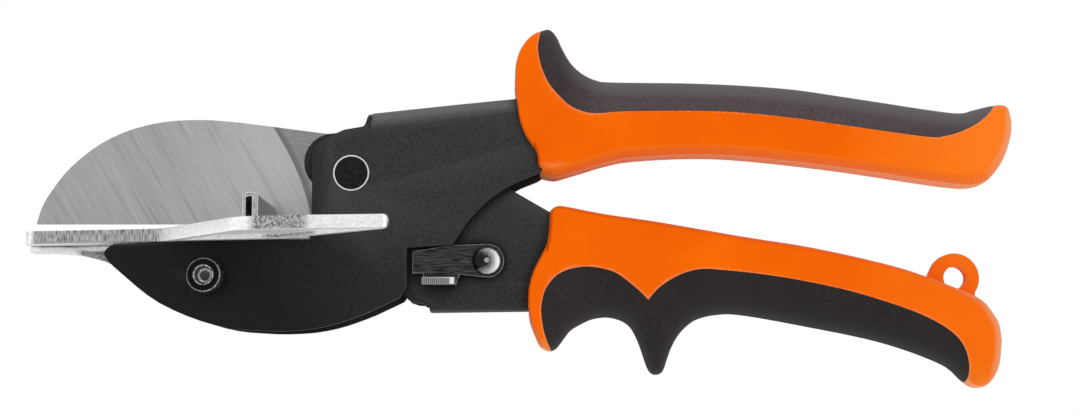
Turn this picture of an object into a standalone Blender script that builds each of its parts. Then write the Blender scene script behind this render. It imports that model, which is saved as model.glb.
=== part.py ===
# Mitre shears for strips, trim and hose: a half-moon blade closes on an angled table.
# The tool lies on its back side. X runs from the jaws to the handles, Y runs from the lower
# handle to the upper handle, and Z is the pivot's direction. Lengths are in metres.

import math

import bmesh
import bpy
import numpy as np

# Overall reach, measured from the pivot
NOSE_REACH = 0.0806
HANDLE_REACH = 0.1672
LOWER_REACH = 0.1630
HORN_RISE = 0.0383
GRIP_SAG = 0.0026
TAIL_DROP = 0.0532

# Layers, from the blade outwards
BLADE_THICKNESS = 0.0030
SPACER_THICKNESS = 0.0023
CARRIER_SHEET = 0.0020
FRAME_SHEET = 0.0020
SEAT_GAP = 0.0003
RUNNING_GAP = 0.0004
PIN_GAP = 0.00010
OVERRUN = 0.0010

# Frame and jaw outlines
FRAME_REACH = 0.0409
JAW_REACH = 0.0610
FRAME_RISE = 0.0188
JAW_DEPTH = 0.0392
FRAME_BEND = 0.0040
CARRIER_BEND = 0.0030
CORNER_RADIUS = 0.0074

# Blade
BLADE_REACH = 0.0804
BLADE_RISE = 0.0146
EDGE_DROP = 0.0120
TANG_REACH = 0.0190
EDGE_THICKNESS = 0.0004
GRIND_BLEND = 0.0030
HEEL_SETBACK = 0.0125

# Table casting
TABLE_THICKNESS = 0.0032
TABLE_RISE = 0.00226
TABLE_DROP = 0.01295
NOSE_HALF_WIDTH = 0.0085
NOSE_CORNER = 0.0024
TABLE_HALF_WIDTH = 0.0315
FLARE_START = 0.0475
SIDE_LENGTH = 0.0150
EAR_REACH = 0.0144
EAR_TAPER = 0.0022
EAR_RADIUS = 0.0016
FLARE_BEND = 0.0090
SIDE_BEND = 0.0120
RIM_WIDTH = 0.0024
RECESS_DEPTH = 0.0009
EAR_ROOT = 0.0165
WEB_THICKNESS = 0.0040
FLANGE_THICKNESS = 0.0013
BOSS_RADIUS = 0.0062
WEB_DEPTH = 0.0334

# Fence strips that stand across the table
FENCE_PLACE = 0.0229
FENCE_HEIGHT = 0.0062
FENCE_SHEET = 0.0012
FENCE_SLIT = 0.0006
FENCE_INSET = 0.0032
BLADE_PASSAGE = 0.0050

# Table screw and nut
SCREW_PLACE_SHARES = (-0.580, -0.661)
SCREW_RADIUS = 0.0025
SCREW_HEAD_RADIUS = 0.00425
SCREW_HEAD_HEIGHT = 0.0050
SCREW_HEAD_CHAMFER = 0.0004
SOCKET_FLATS = 0.0040
SOCKET_DEPTH = 0.0026
NUT_FLATS = 0.0080
NUT_HEIGHT = 0.0047
NUT_BEVEL = 0.0005

# Pivot
PIN_RADIUS = 0.00405
PIN_CHAMFER = 0.0003
PIN_HEAD_RADIUS = 0.0064
PIN_HEAD_HEIGHT = 0.0018
BUSH_WALL = 0.0004
BLADE_RIVET_RADIUS = 0.0021
BLADE_RIVET_ACROSS = 0.0135
BLADE_RIVET_DROP = -0.0020

# Latch
LATCH_ACROSS = 0.0340
LATCH_DROP = -0.0220
LATCH_THICKNESS = 0.0018
LATCH_LENGTH = 0.0185
LATCH_END_RADIUS = 0.0042
LATCH_TOP = 0.0027
LATCH_TOP_INNER = 0.0038
LATCH_BOTTOM = 0.0034
LATCH_NOSE_CUT = 0.0022
TAB_NEAR = 0.0078
TAB_WIDTH = 0.0081
TAB_DROP = 0.0063
TAB_REACH = 0.0080
NOTCH_GAP = 0.0014
NOTCH_TOP_GAP = 0.0005
LATCH_RIVET_RADIUS = 0.0020
LATCH_DOME_RADIUS = 0.0035
LATCH_DOME_HEIGHT = 0.0019
RIVET_TAIL_RADIUS = 0.0029
RIVET_TAIL_HEIGHT = 0.0010

# Opening spring between the two folds
SPRING_ACROSS = 0.0262
SPRING_RADIUS = 0.0031
SPRING_WIRE = 0.0011
SPRING_TURNS = 11
SPRING_END_TURN = 0.75
SEAT_PEG_RADIUS = 0.0021
SEAT_PEG_HEIGHT = 0.0030

# Grips
GRIP_HALF_THICKNESS = 0.0108
GRIP_TAIL_HALF_THICKNESS = 0.0098
SHELL_EDGE = 0.0012
PAD_EDGE = 0.0056
MOUTH_EDGE = 0.0013
MOUTH_BLEND = 0.0120
TAIL_EDGE = 0.0040
TAIL_BLEND = 0.0160
LOWER_SETBACK = 0.0031
EYE_ACROSS = 0.1516
EYE_DROP = -0.0257
EYE_RADIUS = 0.0062
EYE_HOLE_RADIUS = 0.0030
EYE_HALF_THICKNESS = 0.0018
REGION_MARGIN = 0.0100

# Depths of the layers, each measured from the blade's middle plane
SPACER_INNER = BLADE_THICKNESS / 2 + SEAT_GAP
SPACER_OUTER = SPACER_INNER + SPACER_THICKNESS
CARRIER_INNER = SPACER_OUTER + SEAT_GAP
CARRIER_OUTER = CARRIER_INNER + CARRIER_SHEET
FRAME_INNER = CARRIER_OUTER + RUNNING_GAP
FRAME_OUTER = FRAME_INNER + FRAME_SHEET
LATCH_BACK = CARRIER_OUTER + SEAT_GAP
LATCH_FACE = LATCH_BACK + LATCH_THICKNESS
BUSH_RADIUS = PIN_RADIUS + PIN_GAP + BUSH_WALL
PIVOT_HOLE = BUSH_RADIUS + PIN_GAP
BLADE_RIVET_HOLE = BLADE_RIVET_RADIUS + PIN_GAP
SCREW_HOLE = SCREW_RADIUS + PIN_GAP
LATCH_HOLE = LATCH_RIVET_RADIUS + PIN_GAP

UPPER_MOUTH = FRAME_REACH - SEAT_GAP
LOWER_MOUTH = FRAME_REACH + LOWER_SETBACK

# The frame's origin is the middle of the box's underside, so the pivot stands off it
PIVOT_X = (NOSE_REACH - HANDLE_REACH) / 2
PIVOT_Y = (TAIL_DROP - HORN_RISE) / 2
PIVOT_Z = TABLE_HALF_WIDTH

# Outlines as shares of the reach, rise and drop on each side of the pivot
CHEEK_CORNER_SHARES = [
    (-0.159, 0.293), (-0.149, 0.372), (-0.118, 0.440), (-0.072, 0.521), (-0.031, 0.580),
    (0.042, 0.607), (0.078, 0.616), (0.095, 0.640), (0.105, 0.676), (0.112, 0.730),
]
FOLD_SHARES = [
    (0.117, 0.760), (0.126, 0.784), (0.145, 0.800), (0.369, 0.862), (0.631, 0.920),
    (0.866, 0.968), (1.000, 1.000),
]
CHEEK_REAR_SHARES = [
    (1.134, -0.003), (1.031, -0.046), (0.950, -0.094), (0.868, -0.153), (0.787, -0.228),
    (0.707, -0.323), (0.622, -0.460),
]
JAW_SHARES = [
    (0.301, -0.783), (0.071, -0.893), (-0.121, -0.972), (-0.335, -1.002), (-0.546, -0.969),
    (-0.772, -0.829), (-0.939, -0.628), (-0.988, -0.553), (-1.000, -0.505), (-0.978, -0.467),
]
CARRIER_TOP_SHARES = [(1.002, -0.117), (0.733, 0.080), (0.369, 0.440)]
CARRIER_CROWN_SHARES = [(0.147, 0.540), (-0.020, 0.560)]
CORNER_CENTRE_SHARES = (-0.077, 0.160)
CARRIER_FRONT_SHARES = [(-0.131, -0.180), (-0.050, -0.300), (0.147, -0.510), (0.352, -0.765)]
CARRIER_STEP_SHARES = [(0.400, -0.788), (0.450, -0.800), (0.472, -0.820)]
CARRIER_FOLD_SHARES = [(0.493, -0.868), (1.125, -0.866)]
BLADE_BACK_SHARES = [
    (-1.000, -0.960), (-0.953, -0.342), (-0.900, 0.137), (-0.821, 0.493), (-0.741, 0.753),
    (-0.660, 0.904), (-0.580, 0.979), (-0.490, 1.000), (-0.414, 0.979), (-0.312, 0.918),
    (-0.091, 0.760),
]
TANG_BACK_SHARES = [(0.000, 0.719), (0.400, 0.590), (0.850, 0.300), (1.000, -0.150)]
TANG_BELLY_SHARES = [(0.870, -0.600), (0.400, -0.880), (0.000, -0.870), (-0.110, -0.920)]
GRIND_LINE_SHARES = [(-0.130, -1.000), (-0.174, 0.010), (-0.259, 0.880)]
WEB_SHARES = [
    (-1.000, -0.596), (-0.932, -0.605), (-0.839, -0.638), (-0.730, -0.719), (-0.596, -0.880),
    (-0.471, -1.000), (-0.360, -1.000), (-0.248, -0.853), (-0.180, -0.630),
]
UPPER_GRIP_TOP_SHARES = [
    (0.000, 0.587), (0.003, 0.742), (0.013, 0.849), (0.033, 0.948), (0.056, 0.992),
    (0.072, 1.000), (0.085, 0.958), (0.097, 0.872), (0.114, 0.775), (0.136, 0.702),
    (0.165, 0.655), (0.201, 0.642), (0.378, 0.632), (0.542, 0.598), (0.665, 0.540),
    (0.830, 0.454), (0.896, 0.428), (0.926, 0.446), (0.956, 0.470), (0.979, 0.478),
    (0.993, 0.449), (1.000, 0.355),
]
UPPER_GRIP_BOTTOM_SHARES = [
    (0.000, 0.587), (0.004, 0.470), (0.017, 0.332), (0.037, 0.211), (0.042, 0.115),
    (0.049, 0.042), (0.061, -0.038), (0.078, -0.231), (0.097, -0.038), (0.136, 0.037),
    (0.184, 0.084), (0.233, 0.115), (0.344, 0.136), (0.455, 0.125), (0.639, 0.057),
    (0.826, -0.538), (0.881, -0.885), (0.913, -1.000), (0.941, -0.692), (0.963, 0.018),
    (0.983, 0.117), (0.997, 0.256), (1.000, 0.355),
]
UPPER_SEAM_SHARES = [
    (0.060, 1.057), (0.050, 0.888), (0.048, 0.817), (0.053, 0.710), (0.068, 0.593),
    (0.087, 0.509), (0.112, 0.433), (0.142, 0.394), (0.169, 0.386), (0.230, 0.399),
    (0.404, 0.399), (0.542, 0.360), (0.707, 0.282), (0.818, 0.232), (0.849, 0.238),
    (0.882, 0.269), (0.921, 0.337), (0.954, 0.444), (0.971, 0.550),
]
UPPER_TANG_TOP_SHARES = [
    (0.029, 0.465), (0.058, 0.397), (0.098, 0.360), (0.153, 0.345), (0.532, 0.324),
]
UPPER_TANG_BOTTOM_SHARES = [
    (0.532, 0.193), (0.201, 0.193), (0.138, 0.146), (0.090, 0.094),
]
LOWER_GRIP_TOP_SHARES = [
    (0.000, -0.620), (0.001, -0.539), (0.010, -0.466), (0.023, -0.400), (0.038, -0.331),
    (0.043, -0.282), (0.044, -0.231), (0.045, -0.180), (0.053, -0.156), (0.066, -0.145),
    (0.084, -0.148), (0.131, -0.169), (0.180, -0.188), (0.277, -0.220), (0.452, -0.288),
    (0.579, -0.333), (0.686, -0.382), (0.792, -0.442), (0.875, -0.509), (0.929, -0.553),
    (0.960, -0.590), (0.979, -0.639), (0.995, -0.699), (1.000, -0.780),
]
LOWER_GRIP_BOTTOM_SHARES = [
    (0.000, -0.620), (0.006, -0.695), (0.017, -0.761), (0.026, -0.805), (0.037, -0.823),
    (0.048, -0.829), (0.060, -0.816), (0.070, -0.789), (0.081, -0.754), (0.092, -0.724),
    (0.111, -0.695), (0.134, -0.671), (0.160, -0.662), (0.181, -0.667), (0.201, -0.684),
    (0.218, -0.714), (0.230, -0.763), (0.240, -0.818), (0.248, -0.874), (0.256, -0.917),
    (0.269, -0.934), (0.284, -0.921), (0.292, -0.874), (0.301, -0.814), (0.316, -0.752),
    (0.336, -0.705), (0.359, -0.671), (0.397, -0.650), (0.451, -0.650), (0.577, -0.699),
    (0.745, -0.786), (0.871, -0.887), (0.918, -0.968), (0.936, -0.996), (0.955, -1.000),
    (0.971, -0.981), (0.985, -0.940), (0.995, -0.880), (1.000, -0.780),
]
LOWER_SEAM_SHARES = [
    (0.060, -0.884), (0.049, -0.827), (0.041, -0.789), (0.034, -0.742), (0.030, -0.688),
    (0.029, -0.641), (0.032, -0.594), (0.038, -0.547), (0.054, -0.500), (0.069, -0.474),
    (0.089, -0.455), (0.121, -0.444), (0.152, -0.451), (0.181, -0.470), (0.206, -0.506),
    (0.232, -0.555), (0.251, -0.598),
]
LOWER_SEAM_REAR_SHARES = [
    (0.251, -0.598), (0.270, -0.549), (0.296, -0.506), (0.327, -0.472), (0.362, -0.455),
    (0.404, -0.459), (0.488, -0.479), (0.571, -0.509), (0.675, -0.560), (0.779, -0.633),
    (0.840, -0.690), (0.882, -0.752), (0.904, -0.816), (0.915, -0.893), (0.919, -0.966),
    (0.923, -1.053),
]
LOWER_TANG_TOP_SHARES = [(0.043, -0.175), (0.067, -0.205), (0.134, -0.237), (0.538, -0.374)]
LOWER_TANG_BOTTOM_SHARES = [
    (0.538, -0.451), (0.134, -0.383), (0.075, -0.402), (0.038, -0.444), (0.018, -0.508),
]
PEG_SHOULDER_SHARE = 0.7
PEG_TOP_SHARE = 0.6
BLADE_TIGHTNESS_SHARE = 0.4
TANG_TIGHTNESS_SHARE = 0.7
END_PITCH_SHARE = 1.3

# Counts that set how finely round forms are divided
ROUND_SIDES = 40
SMALL_SIDES = 24
TURN_STEPS = 10
BEND_STEPS = 5
GRIP_RINGS = 9
UPPER_STATIONS = 46
LOWER_STATIONS = 66
BLADE_STATIONS = 26
TANG_STATIONS = 12
SPLINE_STEPS = 4
FIELD_SAMPLES = 1200
FIELD_POWER = 5


def clear_scene():
    """Remove every object, so the part starts from nothing."""
    for obj in list(bpy.data.objects):
        bpy.data.objects.remove(obj)


def quadrant(shares, left, right, up, down):
    """Turn shares on each side of the pivot into metres, with one size for each side."""
    points = []
    for across, rise in shares:
        x = across * (right if across > 0 else left)
        y = rise * (up if rise > 0 else down)
        points.append((x, y))
    return points


def frame_points(shares):
    return quadrant(shares, JAW_REACH, FRAME_REACH, FRAME_RISE, JAW_DEPTH)


def blade_points(shares):
    return quadrant(shares, BLADE_REACH, TANG_REACH, BLADE_RISE, EDGE_DROP)


def along_grip(shares, mouth, end, up, down):
    """Turn shares of a grip's length, from its mouth to its tail, into metres."""
    lengths = [(share * (end - mouth), rise) for share, rise in shares]
    return [(mouth + x, rise * (up if rise > 0 else down)) for x, rise in lengths]


def upper_points(shares):
    return along_grip(shares, UPPER_MOUTH, HANDLE_REACH, HORN_RISE, GRIP_SAG)


def lower_points(shares):
    return along_grip(shares, LOWER_MOUTH, LOWER_REACH, HORN_RISE, TAIL_DROP)


def smooth(points, steps=SPLINE_STEPS):
    """Run a Catmull-Rom curve through the points, with its ends at the first and last."""
    p = np.array(points, dtype=float)
    padded = np.vstack([2 * p[0] - p[1], p, 2 * p[-1] - p[-2]])
    out = []
    for i in range(len(p) - 1):
        a, b, c, d = padded[i:i + 4]
        for k in range(steps):
            t = k / steps
            value = 2 * b + (c - a) * t + (2 * a - 5 * b + 4 * c - d) * t ** 2
            value = value + (3 * b - a - 3 * c + d) * t ** 3
            out.append(tuple(value / 2))
    out.append(tuple(p[-1]))
    return out


def arc(centre, radius, start, end, steps):
    """Points on a circle from one angle to another, both in degrees."""
    angles = np.radians(np.linspace(start, end, steps + 1))
    return [(centre[0] + radius * math.cos(a), centre[1] + radius * math.sin(a)) for a in angles]


def turned_outwards(points):
    """Put a closed outline in counterclockwise order."""
    p = np.array(points)
    q = np.roll(p, -1, axis=0)
    area = np.sum(p[:, 0] * q[:, 1] - q[:, 0] * p[:, 1])
    return points if area > 0 else points[::-1]


def offset(points, distance):
    """Move every side of a closed outline outwards by a distance and join the sides again."""
    p = np.array(turned_outwards(points))
    side = np.roll(p, -1, axis=0) - p
    side = side / np.linalg.norm(side, axis=1)[:, None]
    before = np.roll(side, 1, axis=0)
    normal = np.stack([side[:, 1], -side[:, 0]], axis=1)
    normal_before = np.stack([before[:, 1], -before[:, 0]], axis=1)
    middle = normal + normal_before
    scale = 1 + np.sum(normal * normal_before, axis=1)
    moved = p + middle * (distance / np.maximum(scale, 0.3))[:, None]
    return [tuple(q) for q in moved]


def rounded_corners(points, radii, steps=4):
    """Round each corner of an open line by a radius, with an arc that meets both sides."""
    out = [points[0]]
    for before, corner, after, radius in zip(points, points[1:], points[2:], radii):
        a = np.array(before) - corner
        b = np.array(after) - corner
        a = a / np.linalg.norm(a)
        b = b / np.linalg.norm(b)
        half = math.acos(np.clip(np.dot(a, b), -1, 1)) / 2
        middle = (a + b) / np.linalg.norm(a + b)
        centre = corner + middle * radius / math.sin(half)
        start = corner + a * radius / math.tan(half) - centre
        end = corner + b * radius / math.tan(half) - centre
        sweep = math.pi - 2 * half
        for k in range(steps + 1):
            share = k / steps
            weight = math.sin((1 - share) * sweep) / math.sin(sweep)
            other = math.sin(share * sweep) / math.sin(sweep)
            out.append(tuple(centre + start * weight + end * other))
    out.append(points[-1])
    return out


def add_object(name, mesh, parent, material=None):
    obj = bpy.data.objects.new(name, mesh)
    bpy.context.collection.objects.link(obj)
    obj.parent = parent
    if material:
        mesh.materials.append(material)
    return obj


def add_empty(name, place, parent=None):
    obj = bpy.data.objects.new(name, None)
    bpy.context.collection.objects.link(obj)
    obj.location = place
    obj.parent = parent
    return obj


def add_material(name, colour, roughness, metallic):
    """One Principled material with a plain colour."""
    material = bpy.data.materials.new(name)
    material.use_nodes = True
    shader = material.node_tree.nodes["Principled BSDF"]
    shader.inputs["Base Color"].default_value = (*colour, 1)
    shader.inputs["Roughness"].default_value = roughness
    shader.inputs["Metallic"].default_value = metallic
    return material


def mesh_from(name, make):
    """Fill a mesh with what a function builds in a bmesh, with its faces pointing out."""
    bm = bmesh.new()
    make(bm)
    bmesh.ops.recalc_face_normals(bm, faces=bm.faces)
    mesh = bpy.data.meshes.new(name)
    bm.to_mesh(mesh)
    bm.free()
    return mesh


def prism(name, outline, low, high, parent, material=None):
    """A closed outline in the tool's plane, extruded from one depth to another."""
    def make(bm):
        verts = [bm.verts.new((x, y, low)) for x, y in turned_outwards(outline)]
        face = bm.faces.new(verts)
        made = bmesh.ops.extrude_face_region(bm, geom=[face])
        top = [v for v in made["geom"] if isinstance(v, bmesh.types.BMVert)]
        bmesh.ops.translate(bm, verts=top, vec=(0, 0, high - low))
    return add_object(name, mesh_from(name, make), parent, material)


def turned(name, profile, centre, sides, parent, material=None):
    """A profile of (radius, depth) points turned once round the pivot's direction."""
    def make(bm):
        rings = []
        for radius, depth in profile:
            if radius == 0:
                rings.append([bm.verts.new((*centre, depth))])
                continue
            ring = []
            for k in range(sides):
                a = 2 * math.pi * k / sides
                x = centre[0] + radius * math.cos(a)
                y = centre[1] + radius * math.sin(a)
                ring.append(bm.verts.new((x, y, depth)))
            rings.append(ring)
        for first, second in zip(rings, rings[1:] + rings[:1]):
            bridge(bm, first, second)
    return add_object(name, mesh_from(name, make), parent, material)


def bridge(bm, first, second):
    """Join two rings of points with faces, where either may be a single pole."""
    if len(first) == 1 and len(second) == 1:
        return
    count = max(len(first), len(second))
    for k in range(count):
        n = (k + 1) % count
        corners = [first[k % len(first)], first[n % len(first)]]
        corners += [second[n % len(second)], second[k % len(second)]]
        unique = list(dict.fromkeys(corners))
        bm.faces.new(unique)


def cylinder(name, centre, radius, low, high, sides, parent, material=None):
    """A plain round bar, closed at both ends."""
    profile = [(0, low), (radius, low), (radius, high), (0, high)]
    return turned(name, profile, centre, sides, parent, material)


def as_tool(obj):
    """Keep a cutting or joining shape out of the finished part."""
    obj.hide_render = True
    obj.display_type = "WIRE"
    return obj


def combine(obj, other, operation):
    """Add a Boolean that cuts, joins or keeps the other shape."""
    modifier = obj.modifiers.new(other.name, "BOOLEAN")
    modifier.operation = operation
    modifier.solver = "EXACT"
    modifier.object = as_tool(other)


def drill(obj, centre, radius, low, high, sides=SMALL_SIDES):
    """Cut a round hole through an object, with an overrun at both ends."""
    name = f"{obj.name}_hole_{len(obj.modifiers)}"
    tool = cylinder(name, centre, radius, low - OVERRUN, high + OVERRUN, sides, obj.parent)
    combine(obj, tool, "DIFFERENCE")


def mark_round(obj):
    """Shade a round piece smooth and keep its edges crisp."""
    obj.data.shade_smooth()
    obj.data.set_sharp_from_angle(angle=math.radians(35))


def channel(name, line, side, bend, sheet, half_width, parent):
    """A folded strip: a U section with round bends, carried along the fold's outer line."""
    inner = bend - sheet
    leg = bend + OVERRUN
    section = [(-leg, half_width)]
    for k in range(BEND_STEPS + 1):
        a = math.pi / 2 * k / BEND_STEPS
        section.append((-bend + bend * math.sin(a), half_width - bend + bend * math.cos(a)))
    hollow = [(-leg, half_width - sheet)]
    for k in range(BEND_STEPS + 1):
        a = math.pi / 2 * k / BEND_STEPS
        rise = -bend + inner * math.sin(a)
        hollow.append((rise, half_width - bend + inner * math.cos(a)))
    outer = section + [(y, -z) for y, z in reversed(section)]
    back = [(y, -z) for y, z in hollow] + [(y, z) for y, z in reversed(hollow)]
    loop = outer + back

    def make(bm):
        rings = []
        for x, y in line:
            rings.append([bm.verts.new((x, y + side * rise, z)) for rise, z in loop])
        for first, second in zip(rings, rings[1:]):
            bridge(bm, first, second)
        bm.faces.new(rings[0])
        bm.faces.new(list(reversed(rings[-1])))
    return add_object(name, mesh_from(name, make), parent)


def height_at(line, x):
    """Height of a line of points at a place along it."""
    p = np.array(line)
    order = np.argsort(p[:, 0], kind="stable")
    return np.interp(x, p[order, 0], p[order, 1])


def table_top(x):
    """Height of the table's working face, which rises gently towards the pivot."""
    return -TABLE_DROP + TABLE_RISE * x / (NOSE_REACH + EAR_REACH)


def table_under(x):
    return table_top(x) - TABLE_THICKNESS


SCREW_PLACE = frame_points([SCREW_PLACE_SHARES])[0]


def jaw_top(x):
    """Height of the jaw cheeks' upper edge, just under the table."""
    return table_under(x) - SEAT_GAP


def notch_outline():
    """Corners of the notch that the latch's nose locks in, from the latch's own sizes."""
    left = LATCH_ACROSS - LATCH_LENGTH - NOTCH_GAP
    top_left = LATCH_DROP + LATCH_TOP + NOTCH_TOP_GAP
    return left, top_left


def make_upper_frame(parent, material):
    """Folded steel frame: two jaw cheeks, joined by a fold that runs into the upper grip."""
    corner = frame_points(CHEEK_CORNER_SHARES)
    fold = frame_points(FOLD_SHARES)
    tang_top = upper_points(UPPER_TANG_TOP_SHARES)
    tang_bottom = upper_points(UPPER_TANG_BOTTOM_SHARES)
    rear = frame_points(CHEEK_REAR_SHARES)
    jaw = smooth(frame_points(JAW_SHARES))
    notch_left, notch_top = notch_outline()
    ridge = fold + smooth([fold[-1]] + tang_top)[1:]

    outline = [(corner[0][0], jaw_top(corner[0][0]))]
    outline += corner
    outline.append((fold[0][0], corner[-1][1]))
    outline += [(x, y - FRAME_BEND) for x, y in ridge]
    outline += tang_bottom
    outline += [rear[0]] + smooth(rear[1:])
    outline.append((notch_left, notch_top))
    outline.append((notch_left, jaw[0][1] + NOTCH_GAP + OVERRUN))
    outline += jaw
    outline.append((jaw[-1][0] + OVERRUN, jaw_top(jaw[-1][0] + OVERRUN)))

    front = prism("upper_frame", outline, FRAME_INNER, FRAME_OUTER, parent, material)
    back = prism("upper_frame_back", outline, -FRAME_OUTER, -FRAME_INNER, parent)
    top = channel("upper_frame_fold", ridge, 1, FRAME_BEND, FRAME_SHEET, FRAME_OUTER, parent)
    combine(front, top, "UNION")
    combine(front, back, "UNION")
    seat = peg("upper_frame_peg", height_at(ridge, SPRING_ACROSS) - FRAME_SHEET, -1, parent)
    combine(front, seat, "UNION")
    drill(front, (0, 0), PIVOT_HOLE, -FRAME_OUTER, FRAME_OUTER, ROUND_SIDES)
    drill(front, SCREW_PLACE, SCREW_HOLE, -FRAME_OUTER, FRAME_OUTER)
    return ridge


def peg(name, base, side, parent):
    """Round peg pressed out of a fold, which centres the opening spring's end."""
    def make(bm):
        rings = []
        shoulder = SEAT_PEG_HEIGHT * PEG_SHOULDER_SHARE
        for rise, share in ((-OVERRUN, 1), (shoulder, 1), (SEAT_PEG_HEIGHT, PEG_TOP_SHARE)):
            ring = []
            for k in range(SMALL_SIDES // 2):
                a = 4 * math.pi * k / SMALL_SIDES
                x = SPRING_ACROSS + SEAT_PEG_RADIUS * share * math.cos(a)
                z = SEAT_PEG_RADIUS * share * math.sin(a)
                ring.append(bm.verts.new((x, base + side * rise, z)))
            rings.append(ring)
        for first, second in zip(rings, rings[1:]):
            bridge(bm, first, second)
        bm.faces.new(rings[0])
        bm.faces.new(list(reversed(rings[-1])))
    return add_object(name, mesh_from(name, make), parent)


def carrier_outline():
    """Outline of the lower frame's cheeks, with their fold's bend left off."""
    top = frame_points(CARRIER_TOP_SHARES)
    crown = frame_points(CARRIER_CROWN_SHARES)
    centre = frame_points([CORNER_CENTRE_SHARES])[0]
    nose = arc(centre, CORNER_RADIUS, 88, 225, 9)
    front = frame_points(CARRIER_FRONT_SHARES)
    step = frame_points(CARRIER_STEP_SHARES)
    fold = frame_points(CARRIER_FOLD_SHARES)
    tang_top = lower_points(LOWER_TANG_TOP_SHARES)
    tang_bottom = lower_points(LOWER_TANG_BOTTOM_SHARES)
    fold[-1] = (tang_bottom[-1][0], fold[-1][1])
    outline = top + crown + nose + front + step
    outline.append((fold[0][0], step[-1][1]))
    outline += [(x, y + CARRIER_BEND) for x, y in fold]
    outline += list(reversed(tang_bottom)) + list(reversed(tang_top))
    return outline, fold


def make_lower_frame(parent, material):
    """Folded steel frame that nests in the upper one and carries the blade and the latch."""
    outline, fold = carrier_outline()
    front = prism("lower_frame", outline, CARRIER_INNER, CARRIER_OUTER, parent, material)
    back = prism("lower_frame_back", outline, -CARRIER_OUTER, -CARRIER_INNER, parent)
    under = channel("lower_frame_fold", fold, -1, CARRIER_BEND, CARRIER_SHEET, CARRIER_OUTER,
                    parent)
    combine(front, under, "UNION")
    combine(front, back, "UNION")
    seat = peg("lower_frame_peg", height_at(fold, SPRING_ACROSS) + CARRIER_SHEET, 1, parent)
    combine(front, seat, "UNION")
    reach = CARRIER_OUTER
    drill(front, (0, 0), PIVOT_HOLE, -reach, reach, ROUND_SIDES)
    rivet = (BLADE_RIVET_ACROSS, BLADE_RIVET_DROP)
    drill(front, rivet, BLADE_RIVET_HOLE, -reach, reach)
    drill(front, (LATCH_ACROSS, LATCH_DROP), LATCH_HOLE, CARRIER_INNER, reach)
    return fold


def stations(low, high, count, tightness=0.5):
    """Places from end to end, closer together near both ends."""
    t = np.linspace(0, 1, count)
    eased = (1 - np.cos(np.pi * t)) / 2
    return low + (high - low) * (tightness * eased + (1 - tightness) * t)


def slab(name, xs, top, bottom, half_thickness, rings, parent, material=None):
    """A body given by its top and bottom lines and by its half thickness at each point."""
    share = (1 - np.cos(np.pi * np.arange(rings + 1) / rings)) / 2
    tops = height_at(top, xs)
    bottoms = height_at(bottom, xs)
    y = bottoms[:, None] + (tops - bottoms)[:, None] * share[None, :]
    x = np.repeat(xs[:, None], rings + 1, axis=1)
    z = half_thickness(x, y)

    def make(bm):
        front = [[bm.verts.new(c) for c in zip(*row)] for row in zip(x, y, z)]
        back = [[bm.verts.new(c) for c in zip(*row)] for row in zip(x, y, -z)]
        count = len(xs)
        for i in range(count - 1):
            for j in range(rings):
                bm.faces.new([front[i][j], front[i + 1][j], front[i + 1][j + 1], front[i][j + 1]])
                bm.faces.new([back[i][j], back[i][j + 1], back[i + 1][j + 1], back[i + 1][j]])
            bm.faces.new([front[i][0], back[i][0], back[i + 1][0], front[i + 1][0]])
            bm.faces.new([front[i][-1], front[i + 1][-1], back[i + 1][-1], back[i][-1]])
        for j in range(rings):
            bm.faces.new([front[0][j], front[0][j + 1], back[0][j + 1], back[0][j]])
            bm.faces.new([front[-1][j], back[-1][j], back[-1][j + 1], front[-1][j + 1]])
        bmesh.ops.remove_doubles(bm, verts=bm.verts, dist=SEAT_GAP / 30)
        bmesh.ops.dissolve_degenerate(bm, edges=bm.edges, dist=SEAT_GAP / 30)
    return add_object(name, mesh_from(name, make), parent, material)


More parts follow.
